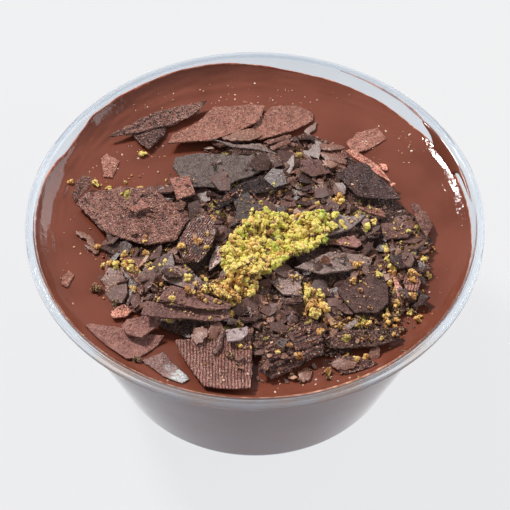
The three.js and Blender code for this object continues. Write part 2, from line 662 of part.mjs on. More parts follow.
function heapCore() {
  const around = 30;
  const ring = (share, heightAt) => Array.from({ length: around }, (_, i) => {
    const [x, y] = heapPlace(2 * Math.PI * i / around, share);
    return [x, y, heightAt(x, y)];
  });
  const floor = CREAM.level + GAP;
  const rings = [ring(1, () => floor)];
  for (const share of [1, 0.85, 0.65, 0.45, 0.22]) {
    rings.push(ring(share, (x, y) => heapHeight(x, y, share)));
  }
  const [x, y] = HEAP.centre;
  return stackOfRings([x, y, floor], rings, [x, y, heapHeight(x, y, 0)]);
}

/** Chips and crumbs over the core, spread evenly over its area. */
function heapPieces() {
  const roll = dice(41);
  const pieces = [];
  for (let i = 0; i < HEAP.chips; i += 1) {
    const share = 0.94 * Math.sqrt((i + 0.5) / HEAP.chips);
    const [x, y] = heapPlace(i * GOLDEN_TURN + between(roll, -0.2, 0.2), share);
    const size = between(roll, ...HEAP.chipSize);
    pieces.push(chipGeometry([x, y, heapHeight(x, y, share) + between(roll, 0.15, 0.4)], size, roll));
  }
  for (let i = 0; i < HEAP.crumbs; i += 1) {
    const share = 0.96 * Math.sqrt((i + 0.5) / HEAP.crumbs);
    const [x, y] = heapPlace(i * GOLDEN_TURN + 1.1, share);
    const size = between(roll, ...HEAP.crumbSize);
    pieces.push(lumpGeometry([x, y, heapHeight(x, y, share) + size * 0.3], [size * 1.2, size], roll));
  }
  return pieces.filter((piece) => keepsOffCream(piece));
}

/** Whether a fused piece keeps its gap above the cream. */
function keepsOffCream(piece) {
  const position = piece.attributes.position;
  for (let i = 0; i < position.count; i += 1) {
    const clear = creamHeight(position.getX(i), position.getY(i)) + GAP;
    if (position.getZ(i) < clear - 0.001) return false;
  }
  return true;
}

// ---------------------------------------------------------------------------------------------
// Chopped pistachio: mounds of their own, and grains scattered over everything
// ---------------------------------------------------------------------------------------------

const PISTACHIO_MOUNDS = [
  { name: 'pistachio_mound', centre: [4.5, -8.5], half: [15, 8.2], heading: 28, crown: 1.9, grains: 46 },
  { name: 'pistachio_spill', centre: [-5, -22], half: [7.5, 4.2], heading: 25, crown: 1.3, grains: 18 },
  { name: 'pistachio_front', centre: [15, -26.5], half: [5, 2.8], heading: 100, crown: 1.2, grains: 10 },
];

const PISTACHIO_SCATTER = [
  { centre: [38, -10], spread: [4.5, 4], grains: 17 },
  { centre: [28, -33], spread: [6, 3.5], grains: 9 },
  { centre: [-29, -13], spread: [8, 5], grains: 13 },
  { centre: [-34, 14], spread: [8, 5], grains: 7 },
  { centre: [20, 3], spread: [9, 4], grains: 8 },
  { centre: [-13, -27], spread: [8, 6], grains: 7 },
  { centre: [8, -46], spread: [12, 2.5], grains: 4 },
];

/** A mound of grains that follows what lies under it. */
function moundGeometry({ centre, half, heading, crown, grains }, relief, roll) {
  const around = 16;
  const shares = [1, 0.75, 0.5, 0.25];
  const turned = THREE.MathUtils.degToRad(heading);
  const reach = 0.36 * Math.min(...half);       // covers the ground between neighbouring ring points
  const place = (angle, share) => {
    const wobble = share * (1 + 0.1 * Math.sin(3 * angle + heading) + 0.07 * Math.sin(5 * angle));
    const s = half[0] * wobble * Math.cos(angle);
    const t = half[1] * wobble * Math.sin(angle);
    return [
      centre[0] + s * Math.cos(turned) - t * Math.sin(turned),
      centre[1] + s * Math.sin(turned) + t * Math.cos(turned),
    ];
  };
  const floorAt = ([x, y]) => relief.top(x, y, reach) + GAP;
  const roofAt = (spot, share) => floorAt(spot) + MOUND_EDGE + (crown - MOUND_EDGE) * (1 - share * share);
  const ring = (share, heightAt) => Array.from({ length: around }, (_, i) => {
    const spot = place(2 * Math.PI * i / around, share);
    return [...spot, heightAt(spot, share)];
  });
  const below = [...shares].reverse().map((share) => ring(share, floorAt));
  const above = shares.map((share) => ring(share, roofAt));
  const lowest = [...centre, floorAt(centre)];
  const highest = [...centre, roofAt(centre, 0)];
  const base = stackOfRings(lowest, [...below, ...above], highest);
  const pieces = Array.from({ length: grains }, (_, i) => {
    const share = 0.97 * Math.sqrt((i + 0.5) / grains);
    const spot = place(i * GOLDEN_TURN + between(roll, -0.2, 0.2), share);
    const size = between(roll, 0.85, 1.35);
    const z = roofAt(spot, share) + 0.35 * size;
    return lumpGeometry([...spot, z], [GRAIN.length * size, GRAIN.breadth * size], roll);
  });
  return fuse(base, pieces.filter((piece) => riseToClear(piece, relief) <= 0));
}

/** Grains dropped on whatever lies on top, listed under the name of the node that holds them. */
function scatteredGrains(relief) {
  const roll = dice(97);
  const held = new Map();
  for (const { centre, spread, grains } of PISTACHIO_SCATTER) {
    for (let i = 0; i < grains; i += 1) {
      const angle = i * GOLDEN_TURN + between(roll, -0.3, 0.3);
      const share = 1.5 * Math.sqrt((i + 0.5) / grains);
      const x = centre[0] + spread[0] * share * Math.cos(angle);
      const y = centre[1] + spread[1] * share * Math.sin(angle);
      const size = between(roll, 0.75, 1.2);
      const owner = relief.ownerAt(x, y);
      if (restsOnOneNode(relief, x, y, GRAIN.length * size + 0.9)) {
        const z = relief.top(x, y, 0.3) + 0.3 * size;
        const grain = lumpGeometry([x, y, z], [GRAIN.length * size, GRAIN.breadth * size], roll);
        if (!held.has(owner)) held.set(owner, []);
        held.get(owner).push(grain);
      }
    }
  }
  return held;
}

/** Whether everything on top within a distance of a place is the same node. */
function restsOnOneNode(relief, x, y, reach) {
  const owner = relief.ownerAt(x, y);
  for (let angle = 0; angle < 2 * Math.PI; angle += Math.PI / 6) {
    for (const share of [0.5, 1]) {
      const near = relief.ownerAt(x + reach * share * Math.cos(angle), y + reach * share * Math.sin(angle));
      if (near !== owner) return false;
    }
  }
  return true;
}

// ---------------------------------------------------------------------------------------------
// Assembly
// ---------------------------------------------------------------------------------------------

const finish = (color, roughness, more = {}) => (
  new THREE.MeshStandardMaterial({ color, roughness, metalness: 0, ...more })
);

const MATERIALS = {
  clear: finish(0xdfe3e6, 0.08, { transparent: true, opacity: 0.35 }),
  cream: finish(0x874b3d, 0.22),
  pale: finish(0xaa7765, 0.6),
  brown: finish(0x77524a, 0.6),
  grey: finish(0x7d6b67, 0.45),
  dark: finish(0x593d3d, 0.55),
  pistachio: finish(0xb59d48, 0.7),
};

/** Everything in the cup, in the order in which it was filled in, as {name, look, geometry}. */
function contents() {
  const relief = new Relief(60, 0.5);
  const inside = (x, y) => Math.hypot(x, y) < innerRadius(CREAM.level);
  relief.flood((x, y) => (inside(x, y) ? creamHeight(x, y) : CUP.height), null);
  const pieces = [];
  const add = (name, look, geometry) => {
    pieces.push({ name, look, geometry });
    relief.cover(geometry, name);
  };
  add('chocolate_cream', 'cream', creamGeometry());
  add('shaving_heap', 'dark', fuse(heapCore(), heapPieces()));
  LARGE_SHAVINGS.forEach((shaving, i) => {
    const { name, look, corners, heading, sag = 0, bow = 0, tilt = [0, 0] } = shaving;
    const outline = brokenOutline(counterclockwise(corners), SHAVING.step, SHAVING.jag, dice(300 + i));
    const plate = {
      outline,
      sag,
      bow,
      heading: THREE.MathUtils.degToRad(heading),
      thickness: SHAVING.thickness,
      folds: outline.length > 9,
    };
    add(name, look, settledPlate(plate, tilt, relief));
  });
  const roll = dice(7);
  for (const mound of PISTACHIO_MOUNDS) {
    add(mound.name, 'pistachio', moundGeometry(mound, relief, roll));
  }
  const grains = scatteredGrains(relief);
  for (const piece of pieces) {
    piece.geometry = fuse(piece.geometry, grains.get(piece.name) ?? []);
  }
  return pieces;
}

const cupOfShavings = new THREE.Group();

const cup = new THREE.Mesh(cupGeometry(), MATERIALS.clear);
cup.name = 'cup';
cupOfShavings.add(cup);

for (const { name, look, geometry } of contents()) {
  const mesh = new THREE.Mesh(geometry, MATERIALS[look].clone());
  mesh.name = name;
  cupOfShavings.add(mesh);
}

export default cupOfShavings;
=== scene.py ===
# %% [markdown]
# # A clear cup of chocolate cream under shavings and chopped pistachio
# The real thing is a thin moulded plastic cup, filled almost to its lip with a soft chocolate cream.
# Broken chocolate shavings lie over the middle in a low heap, and chopped pistachio is strewn on top.
# The solids of every part come from a frame that is loaded first, in metres, with the origin at the
# bottom centre of the cup, +X to the viewer's right and +Y away from the viewer. Each solid gives its
# place and its form to a finer mesh, which then stands for it.

import math

import bmesh
import bpy
import numpy as np
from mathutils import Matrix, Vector
from mathutils.bvhtree import BVHTree


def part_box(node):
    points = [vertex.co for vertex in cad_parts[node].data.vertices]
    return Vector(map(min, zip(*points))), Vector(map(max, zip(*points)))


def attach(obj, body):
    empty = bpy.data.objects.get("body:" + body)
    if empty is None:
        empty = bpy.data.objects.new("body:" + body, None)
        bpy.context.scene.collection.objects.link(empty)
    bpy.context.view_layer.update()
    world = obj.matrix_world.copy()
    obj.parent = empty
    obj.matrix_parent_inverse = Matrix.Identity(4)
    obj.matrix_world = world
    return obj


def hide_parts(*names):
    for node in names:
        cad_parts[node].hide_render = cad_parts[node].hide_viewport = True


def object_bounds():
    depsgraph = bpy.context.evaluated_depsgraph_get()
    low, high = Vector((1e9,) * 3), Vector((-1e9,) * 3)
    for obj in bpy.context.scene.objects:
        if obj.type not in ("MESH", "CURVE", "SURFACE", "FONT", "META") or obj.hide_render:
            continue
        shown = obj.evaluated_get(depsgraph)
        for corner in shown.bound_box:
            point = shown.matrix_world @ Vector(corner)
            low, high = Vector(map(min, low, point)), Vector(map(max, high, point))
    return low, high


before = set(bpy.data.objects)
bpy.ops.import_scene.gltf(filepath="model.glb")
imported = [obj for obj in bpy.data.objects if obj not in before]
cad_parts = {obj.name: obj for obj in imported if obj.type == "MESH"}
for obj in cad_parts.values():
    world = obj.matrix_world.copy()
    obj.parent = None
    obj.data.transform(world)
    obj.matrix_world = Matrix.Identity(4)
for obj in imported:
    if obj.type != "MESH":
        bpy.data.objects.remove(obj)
cad_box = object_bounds()
MM = 0.001
print("solids in the frame:", len(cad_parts))

# %% [markdown]
# ## Values that add up like numbers
# A finish or a scattering rule is a graph of nodes, and written out node by node it hides its own sense.
# A small wrapper round a socket lets the arithmetic be written as it would be on paper: every sum adds
# one Math node. All other nodes come from one method, which sets a node's options first and then fills
# or links its sockets. The same two classes serve for materials and for geometry.

# %% A graph of nodes and its wires
class Wire:
    """One output in a graph, which takes part in sums."""

    def __init__(self, graph, socket):
        self.graph = graph
        self.socket = socket

    def with_(self, operation, first, second):
        return self.graph.node("ShaderNodeMath", {0: first, 1: second}, operation=operation)

    def __add__(self, other):
        return self.with_("ADD", self, other)

    def __sub__(self, other):
        return self.with_("SUBTRACT", self, other)

    def __rsub__(self, other):
        return self.with_("SUBTRACT", other, self)

    def __mul__(self, other):
        return self.with_("MULTIPLY", self, other)

    def __truediv__(self, other):
        return self.with_("DIVIDE", self, other)

    def __rtruediv__(self, other):
        return self.with_("DIVIDE", other, self)

    def __pow__(self, other):
        return self.with_("POWER", self, other)

    __radd__ = __add__
    __rmul__ = __mul__

    def sine(self):
        return self.with_("SINE", self, 0.0)

    def size(self):
        return self.with_("ABSOLUTE", self, 0.0)

    def between(self, low, high):
        """0 below low, 1 above high, and a soft step in between."""
        return self.graph.node("ShaderNodeMapRange", {"Value": self, "From Min": low, "From Max": high},
                               interpolation_type="SMOOTHSTEP")


class Graph:
    """A node tree that is filled by calls to node()."""

    def __init__(self, tree):
        self.tree = tree

    def node(self, kind, inputs=None, out=0, **options):
        made = self.tree.nodes.new(kind)
        for name, value in options.items():
            setattr(made, name, value)
        for key, value in (inputs or {}).items():
            if isinstance(value, Wire):
                self.tree.links.new(value.socket, made.inputs[key])
            elif isinstance(value, list):
                for wire in value:
                    self.tree.links.new(wire.socket, made.inputs[key])
            else:
                made.inputs[key].default_value = value
        return Wire(self, made.outputs[out])

    def noise(self, place, size, detail=2.0, rough=0.5, seed=0.0):
        """Cloudy noise from 0 to 1 whose clouds are about as large as size."""
        return self.node("ShaderNodeTexNoise", {"Vector": place, "W": seed, "Scale": 1 / size,
                                                "Detail": detail, "Roughness": rough},
                         noise_dimensions="4D")

    def cells(self, place, size, out=0):
        """Out 0 is the distance to the middle of the cell, out 1 a value of its own for each cell."""
        return self.node("ShaderNodeTexVoronoi", {"Vector": place, "Scale": 1 / size}, out=out)

    def parts(self, place):
        """The x, y and z of a place or a direction."""
        split = self.node("ShaderNodeSeparateXYZ", {0: place})
        return [Wire(self, output) for output in split.socket.node.outputs]


# %% [markdown]
# ## Finishes
# Chocolate is never one brown. Where it was shaved it is dull and dusty, where it was broken it is
# dark, and thin edges look pale, partly from crumbling and partly as a painted highlight. Each finish
# therefore blends two or three browns by noise, roughens the gloss the same way, and adds a fine
# relief; in pits and grooves the shavings get a painted shade. Colours are given as they look on a
# screen, 0 to 255, and are turned into the shader's linear values here.

# %% Colours, and a finish with its shader
def paint(red, green, blue):
    """A screen colour as the linear colour that a shader takes."""
    linear = [(c / 255 / 12.92) if c <= 10 else ((c / 255 + 0.055) / 1.055) ** 2.4
              for c in (red, green, blue)]
    return (*linear, 1.0)


class Finish(Graph):
    """A material with its Principled shader."""

    def __init__(self, name, **settings):
        self.material = bpy.data.materials.new(name)
        self.material.use_nodes = True
        super().__init__(self.material.node_tree)
        self.shader = self.tree.nodes["Principled BSDF"]
        for key, value in settings.items():
            self.shader.inputs[key.replace("_", " ")].default_value = value

    def place(self):
        return self.node("ShaderNodeTexCoord", out=3)

    def attribute(self, name, out=2):
        return self.node("ShaderNodeAttribute", out=out, attribute_name=name)

    def drawn_out(self, place, times):
        """The place for a pattern that is longer by this many times along x."""
        return self.node("ShaderNodeVectorMath", {0: place, 1: (1 / times, 1.0, 1.0)}, operation="MULTIPLY")

    def blend(self, first, second, share):
        return self.node("ShaderNodeMix", {0: share, 6: first, 7: second}, out=2, data_type="RGBA")

    def shaded(self, colour, shade):
        return self.node("ShaderNodeMix", {0: 1.0, 6: colour, 7: shade}, out=2, data_type="RGBA",
                         blend_type="MULTIPLY")

    def feed(self, **wires):
        for key, wire in wires.items():
            self.tree.links.new(wire.socket, self.shader.inputs[key.replace("_", " ")])

    def relief(self, height, depth, strength=1.0):
        return self.node("ShaderNodeBump", {"Height": height, "Distance": depth, "Strength": strength})


def noted(finish, slot):
    """The material of a finish, with the slot that it stands for."""
    finish.material["slot"] = slot
    return finish.material


# %% [markdown]
# The plastic is clear and very smooth. A real wall this thin bends light only a little, but its two
# faces mirror the pale floor and the lamps, which is what makes the wall show. Light on its way to a
# lamp passes straight through, so that the cream behind the wall is lit as it is in life. The wall is
# painted bluer at the left, a painted reflection of the light from that side, and mirrors more there;
# the rolled foot and the top of the lip shine more, and the lip is a little brown at the front, where it
# was wiped. All this is told from the place on the cup.

# %% Clear plastic
def clear_plastic():
    finish = Finish("clear plastic", Roughness=0.03, IOR=1.12, Transmission_Weight=0.92, Coat_Weight=0.16,
                    Coat_IOR=1.5, Coat_Roughness=0.03)
    place = finish.place()
    haze = finish.noise(place, 9 * MM, 3.0)
    side, depth, height = finish.parts(place)
    # Painted reflection: at the left the wall's colour turns blue, and its coat mirrors more there.
    left = (1 - side.between(-40 * MM, -6 * MM)) * haze.between(0.25, 0.5)
    foot = 1 - height.between(0.6 * MM, 2.6 * MM)
    front = (1 - depth.between(-46 * MM, -34 * MM)) * finish.noise(place, 11 * MM, 2.0).between(0.35, 0.6)
    wall = finish.blend(paint(204, 213, 227), paint(188, 200, 218), haze.between(0.35, 0.65))
    wall = finish.blend(wall, paint(170, 196, 236), left * 0.9)
    lip = finish.blend(paint(236, 241, 246), paint(226, 233, 241), haze)
    lip = finish.blend(lip, paint(238, 214, 196), front * 0.6)
    top = height.between(50.2 * MM, 51.2 * MM)
    finish.feed(Roughness=0.02 + 0.05 * haze.between(0.45, 0.8),
                Base_Color=finish.blend(wall, lip, height.between(44 * MM, 48 * MM)),
                Coat_Weight=0.05 + 0.09 * haze.between(0.3, 0.7) + 0.34 * top + 0.14 * left + 0.3 * foot,
                Normal=finish.relief(finish.noise(place, 6 * MM, 1.0), 0.02 * MM, 0.3))
    to_a_lamp = finish.node("ShaderNodeLightPath", out=1)
    straight = finish.node("ShaderNodeBsdfTransparent", {"Color": (0.96, 0.97, 0.98, 1.0)})
    body = Wire(finish, finish.shader.outputs[0])
    mixed = finish.node("ShaderNodeMixShader", {0: to_a_lamp * 0.92, 1: body, 2: straight})
    finish.tree.links.new(mixed.socket, finish.tree.nodes["Material Output"].inputs["Surface"])
    return noted(finish, "clear_plastic")


CLEAR = clear_plastic()

# %% [markdown]
# The cream is smooth and glossy, a warm milk-chocolate brown that is a little deeper in some swirls.
# Only its open top shows small unevenness. On the climb to the wall it is creased and wetter.

# %% Chocolate cream
def chocolate_cream():
    finish = Finish("chocolate cream", Roughness=0.2, IOR=1.45, Specular_IOR_Level=0.5)
    place = finish.place()
    climb = finish.attribute("climb")
    swirl = finish.noise(place, 16 * MM, 3.0, 0.45)
    fine = finish.noise(place, 1.1 * MM, 2.0)
    crease = finish.noise(place, 1.6 * MM, 3.0, 0.6)
    open_top = finish.parts(place)[2].between(44.5 * MM, 46.5 * MM)
    base = finish.blend(paint(122, 68, 53), paint(107, 57, 43), swirl.between(0.35, 0.7))
    base = finish.blend(base, paint(134, 78, 60), fine.between(0.6, 0.95) * 0.5 * open_top)
    height = 0.15 * open_top * finish.noise(place, 2.6 * MM, 3.0) + climb.between(0.5, 0.8) * crease
    wetness = 1 - 0.6 * climb.between(0.4, 0.7)
    finish.feed(Base_Color=base, Roughness=(0.07 + 0.1 * finish.noise(place, 5 * MM, 3.0)) * wetness,
                Normal=finish.relief(height, 0.24 * MM, 0.5))
    return noted(finish, "chocolate_cream")


CREAM = chocolate_cream()

# %% [markdown]
# Shavings come in thirteen looks. Pale ones are dusty from the knife, brown and plain ones are smooth,
# crumbly ones break up, ribbed, beaded and striped ones show the knife's lines, grey and bloomed ones
# are the moulded outer face, and dark and bitter ones are rough breaks; the grey of the grey ones is
# partly a painted sheen. All share one recipe: two body colours, pits with painted shade, a pale dust,
# bright dots that are painted highlights, and a fine grain in relief; lines and ribs are added where
# there are any, with painted shade in their grooves, the rim is paler, partly as a painted highlight,
# and one shaving has an end with a painted highlight. Two numbers come with the mesh: the shade
# makes a shaving lighter or darker than others of its look, and a piece of nut that is stuck to it is
# marked, and takes the nut's colour.

# %% Nut colours and shavings
NUT_STOPS = [(0.0, (88, 52, 30)), (0.14, (166, 104, 50)), (0.3, (224, 168, 84)), (0.46, (238, 210, 118)),
             (0.7, (224, 212, 92)), (0.9, (174, 194, 62)), (1.0, (112, 166, 40))]


def nut_colour(finish, tone):
    """The run of colours from brown skin over yellow to the green inside."""
    ramp = finish.node("ShaderNodeValToRGB", {"Fac": tone})
    stops = ramp.socket.node.color_ramp.elements
    for _ in range(len(NUT_STOPS) - 2):
        stops.new(0.5)
    for stop, (position, colour) in zip(stops, NUT_STOPS):
        stop.position = position
        stop.color = paint(*colour)
    return ramp


def glints(finish, place):
    """Small bright dots, painted highlights, on two of three cells."""
    dots = (1 - finish.cells(place, 0.46 * MM)).between(0.66, 0.84)
    return dots * finish.cells(place, 0.46 * MM, 1).between(0.4, 0.46)


def shaving(name, slot, body, other, pit_shade, glint, gloss, pit_shade_share=0.6, dust_and_glint_share=0.5, lined=0.0, depth=0.4,
            ribs=0.0, painted_highlight_end=None):
    """The four colours are 0 to 255: two body colours; the colour for pits, which is painted shade in
    pits, lines and rib grooves; and the glint colour, which is the pale dust and also the painted
    highlight on bright dots, partly on rims, and on the highlit end. The depth of the relief and the pitch
    of the ribs are in millimetres; the end with a painted highlight is a place and a reach in millimetres."""
    finish = Finish(name, Roughness=gloss, IOR=1.45)
    place = finish.attribute("lie", 1)
    cloud = finish.noise(place, 3.0 * MM, 4.0, 0.65)
    line = finish.noise(finish.drawn_out(place, 3.5), 0.5 * MM, 2.0, 0.6)
    dust = finish.noise(place, 0.45 * MM, 2.0, 0.6)
    pits = 1 - finish.noise(place, 0.75 * MM, 3.0, 0.7, 5.0).between(0.38, 0.48)
    dots = glints(finish, place)
    height = dust.between(0.3, 0.7) + 0.5 * dots - 0.9 * pits - (0.7 * lined) * line.between(0.5, 0.64)
    colour = finish.blend(paint(*body), paint(*other), cloud.between(0.38, 0.62))
    colour = finish.blend(colour, paint(*glint), dust.between(0.5, 0.72) * (0.6 * dust_and_glint_share))
    # Painted shade: the pits take the dark colour for pits.
    colour = finish.blend(colour, paint(*pit_shade), pits * pit_shade_share)
    if lined:
        # Painted shade in the knife's lines.
        colour = finish.blend(colour, paint(*pit_shade), line.between(0.52, 0.62) * lined)
    if ribs:
        swing = (finish.parts(place)[1] + (cloud - 0.5) * (1.2 * MM)) * (2 * math.pi / (ribs * MM))
        groove = (swing.sine() + 0.7 * (dust - 0.5)).between(0.15, 0.75)
        # Painted shade in the grooves between the ribs.
        colour = finish.blend(colour, paint(*pit_shade), groove * 0.75)
        height = height - 1.6 * groove
    # The rim is paler: partly the crumbled edge's own colour and partly a painted highlight.
    rim = finish.attribute("rim") * finish.noise(place, 0.9 * MM, 2.0).between(0.4, 0.6)
    colour = finish.blend(colour, paint(*glint), rim * 0.35)
    # Painted highlights: the bright dots take the glint colour.
    colour = finish.blend(colour, paint(*glint), dots * dust_and_glint_share)
    # Painted highlight at one end of the glassy shaving.
    if painted_highlight_end:
        middle = tuple(c * MM for c in painted_highlight_end[:3])
        reach = painted_highlight_end[3] * MM
        away = finish.node("ShaderNodeVectorMath", {0: finish.place(), 1: middle}, out=1,
                           operation="DISTANCE")
        near = 1 - (away + (cloud - 0.5) * (9 * MM)).between(0.5 * reach, reach)
        colour = finish.blend(colour, paint(*glint), near * line.between(0.3, 0.55))
    colour = finish.shaded(colour, finish.attribute("shade", 0))
    colour = finish.blend(colour, nut_colour(finish, finish.noise(place, 1.5 * MM)), finish.attribute("nut"))
    finish.feed(Base_Color=colour, Roughness=gloss + 0.3 * dust - 0.12 - 0.15 * dots,
                Normal=finish.relief(height, depth * MM, 1.0))
    return noted(finish, slot)


LOOKS = {
    "pale": shaving("pale shaving", "pale_chocolate", (163, 101, 85), (186, 124, 106), (98, 58, 46),
                    (240, 206, 186), 0.6, 0.45, 0.6, 0.25, 0.378),
    "brown": shaving("brown shaving", "brown_chocolate", (145, 90, 78), (169, 111, 97), (58, 36, 31),
                     (238, 202, 182), 0.45, 0.5, 0.85, 0.3, 0.405),
    "crumbly": shaving("crumbly shaving", "brown_chocolate", (153, 97, 86), (182, 123, 108), (44, 28, 26),
                       (248, 216, 198), 0.5, 0.8, 1.0, 0.3, 0.7425),
    "ribbed": shaving("ribbed shaving", "brown_chocolate", (159, 103, 92), (186, 128, 115), (50, 32, 29),
                      (246, 214, 196), 0.45, 0.2, 0.7, 0.0, 0.4725, ribs=0.78),
    "striped": shaving("striped shaving", "brown_chocolate", (122, 76, 68), (150, 98, 88), (28, 18, 17),
                       (246, 214, 198), 0.4, 0.3, 0.8, 0.0, 0.675, ribs=1.25),
    "beaded": shaving("beaded shaving", "brown_chocolate", (126, 84, 76), (149, 103, 94), (40, 27, 25),
                      (255, 236, 224), 0.36, 0.3, 1.0, 0.0, 0.54, ribs=0.62),
    "satin": shaving("satin shaving", "brown_chocolate", (149, 99, 90), (167, 116, 105), (88, 58, 51),
                     (226, 190, 174), 0.42, 0.25, 0.35, 0.2, 0.27),
    "plain": shaving("plain shaving", "brown_chocolate", (116, 77, 71), (133, 91, 84), (56, 38, 35),
                     (216, 184, 170), 0.38, 0.25, 0.3, 0.15, 0.216),
    # The grey of these smooth shavings is partly a painted sheen.
    "grey": shaving("smooth shaving", "grey_chocolate", (112, 90, 84), (130, 109, 103), (56, 42, 40),
                    (226, 206, 198), 0.36, 0.35, 0.25, 0.1, 0.162),
    "bloomed": shaving("shaving with bloom", "grey_chocolate", (151, 128, 126), (173, 151, 150),
                       (104, 88, 85), (240, 236, 234), 0.28, 0.25, 0.3, 0.1, 0.135),
    "glassy": shaving("glassy shaving", "grey_chocolate", (141, 99, 91), (163, 124, 117), (96, 66, 58),
                      (236, 240, 240), 0.2, 0.2, 0.3, 0.2, 0.216, painted_highlight_end=(-17.5, -46.5, 50, 5.5)),
    "dark": shaving("dark shaving", "dark_chocolate", (100, 63, 57), (129, 85, 77), (32, 20, 19),
                    (240, 206, 188), 0.38, 0.7, 0.9, 0.3, 0.54),
    "bitter": shaving("bitter shaving", "dark_chocolate", (75, 50, 48), (98, 69, 66), (24, 16, 16),
                      (206, 180, 170), 0.32, 0.6, 0.6, 0.2, 0.405),
}
print("finishes:", [m.name for m in bpy.data.materials])

# %% [markdown]
# Small stuff is coloured by an attribute called tone, which the scattering rule gives to each piece.

# %% Grains, crumbs and chips
def pistachio():
    finish = Finish("chopped pistachio", Roughness=0.5, IOR=1.45)
    place = finish.place()
    fleck = finish.noise(place, 0.4 * MM, 3.0, 0.65)
    # Painted shade: at the front of the cup the grains' tone moves towards the darker brown.
    front = 1 - finish.parts(place)[1].between(-24 * MM, -14 * MM)
    tone = finish.attribute("tone") + 0.9 * (fleck - 0.5) - 0.24 * front
    # Painted highlight: the brightest flecks turn nearly white.
    colour = finish.blend(nut_colour(finish, tone), paint(254, 244, 200), fleck.between(0.52, 0.68) * 0.85)
    finish.feed(Base_Color=colour, Roughness=0.32 + 0.3 * fleck,
                Normal=finish.relief(fleck, 0.25 * MM, 1.0))
    return noted(finish, "pistachio")


def loose_chocolate(name, slot, dark, middle, light, gloss):
    finish = Finish(name, Roughness=gloss, IOR=1.45)
    place = finish.place()
    fleck = finish.noise(place, 0.6 * MM, 3.0, 0.6)
    tone = finish.attribute("tone") + 0.5 * (fleck - 0.5)
    colour = finish.blend(paint(*dark), paint(*middle), tone.between(0.0, 0.5))
    colour = finish.blend(colour, paint(*light), tone.between(0.55, 1.1))
    # Painted highlights: bright dots of the light colour.
    colour = finish.blend(colour, paint(*light), glints(finish, place))
    finish.feed(Base_Color=colour, Roughness=gloss - 0.1 + 0.2 * fleck,
                Normal=finish.relief(fleck, 0.15 * MM, 1.0))
    return noted(finish, slot)


PISTACHIO = pistachio()
CHIPS = loose_chocolate("small flakes", "dark_chocolate", (58, 40, 37), (104, 73, 66),
                        (158, 132, 123), 0.38)
CRUMBS = loose_chocolate("chocolate crumbs", "brown_chocolate", (66, 43, 38), (122, 82, 70),
                         (214, 166, 136), 0.42)
# The palest colour of the specks is partly a painted highlight.
SPECKS = loose_chocolate("specks on the cream", "pale_chocolate", (158, 96, 70), (214, 162, 126),
                         (244, 224, 204), 0.3)
# The heap's dark browns are partly painted shade between the shavings.
HEAP = shaving("crumbled heap", "dark_chocolate", (84, 55, 49), (118, 82, 73), (24, 15, 14),
               (228, 190, 166), 0.45, 0.8, 0.8, 0.2, 0.675)

# %% [markdown]
# ## Camera, floor and light
# The photograph looks down on the cup at a little over fifty degrees, from far enough away that its
# lines hardly converge: a long lens at sixty centimetres. The floor is plain and nearly white. The
# shadows of the shavings fall to the lower right, so the main lamp stands at the back left, and the
# grey bands on the rising edge of the cream are a broad, soft reflector on the right.

# %% Camera and floor
VIEW_HEIGHT = math.radians(51.05)
VIEW_DISTANCE = 0.6
AIM = Vector((0, 0, 0.03674))
LENS = 163.2

camera = bpy.data.objects.new("camera", bpy.data.cameras.new("camera"))
camera.data.lens = LENS
away = Vector((0, -math.cos(VIEW_HEIGHT), math.sin(VIEW_HEIGHT)))
camera.location = AIM + VIEW_DISTANCE * away
camera.rotation_euler = (math.pi / 2 - VIEW_HEIGHT, 0, 0)
bpy.context.scene.collection.objects.link(camera)
bpy.context.scene.camera = camera
bpy.context.scene.view_settings.view_transform = "Standard"


def made_piece(name, points, faces, material=None, smooth=True):
    """A new object with its place in its mesh."""
    mesh = bpy.data.meshes.new(name)
    mesh.from_pydata([tuple(p) for p in points], [], [tuple(f) for f in faces])
    mesh.update()
    if smooth:
        mesh.shade_smooth()
    if material is not None:
        mesh.materials.append(material)
    piece = bpy.data.objects.new(name, mesh)
    bpy.context.scene.collection.objects.link(piece)
    return piece


def name_points(piece, label, values):
    """A number for each point of a piece, which its finish or its tree reads by this label."""
    piece.data.attributes.new(label, "FLOAT", "POINT").data.foreach_set(
        "value", np.asarray(values, np.float32))


def belongs(piece, material, *nodes):
    """The piece rides on the cup and stands for these solids, which are hidden; the material is not used."""
    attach(piece, "root")
    if nodes:
        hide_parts(*nodes)
    print(piece.name + ":", len(piece.data.polygons), "faces")


def floor_finish():
    finish = Finish("pale floor", Roughness=0.9, Specular_IOR_Level=0.1, Emission_Strength=0.79)
    cloud = finish.noise(finish.place(), 0.4, 1.0)
    finish.feed(Base_Color=finish.blend(paint(69, 69, 70), paint(72, 72, 72), cloud),
                Emission_Color=finish.blend(paint(250, 251, 255), paint(255, 255, 255), cloud))
    return finish.material


REACH = 3.0
floor_corners = [(x * REACH, y * REACH, 0) for x, y in ((-1, -1), (1, -1), (1, 1), (-1, 1))]
floor = made_piece("floor", floor_corners, [(0, 1, 2, 3)], floor_finish(), smooth=False)

# %% [markdown]
# Two lamps are enough. The small one at the back left gives the shadows their direction and the
# shavings their bright edges. The wide one at the right is weak, and is there to be mirrored.

# %% Lamps
def lamp(name, place, size, power, colour=(1, 1, 1), towards=(0, 0, 0.03)):
    light = bpy.data.lights.new(name, "AREA")
    light.shape = "RECTANGLE"
    light.size, light.size_y = size
    light.energy = power
    light.color = colour
    made = bpy.data.objects.new(name, light)
    made.location = place
    made.rotation_euler = (Vector(towards) - Vector(place)).to_track_quat("-Z", "Y").to_euler()
    bpy.context.scene.collection.objects.link(made)


lamp("key", (-1.08, 0.99, 1.8), (0.38, 0.38), 60.0, (1.0, 0.985, 0.96))
lamp("reflector", (0.95, 0.3, 0.45), (1.2, 0.6), 7.0, (0.93, 0.97, 1.0))

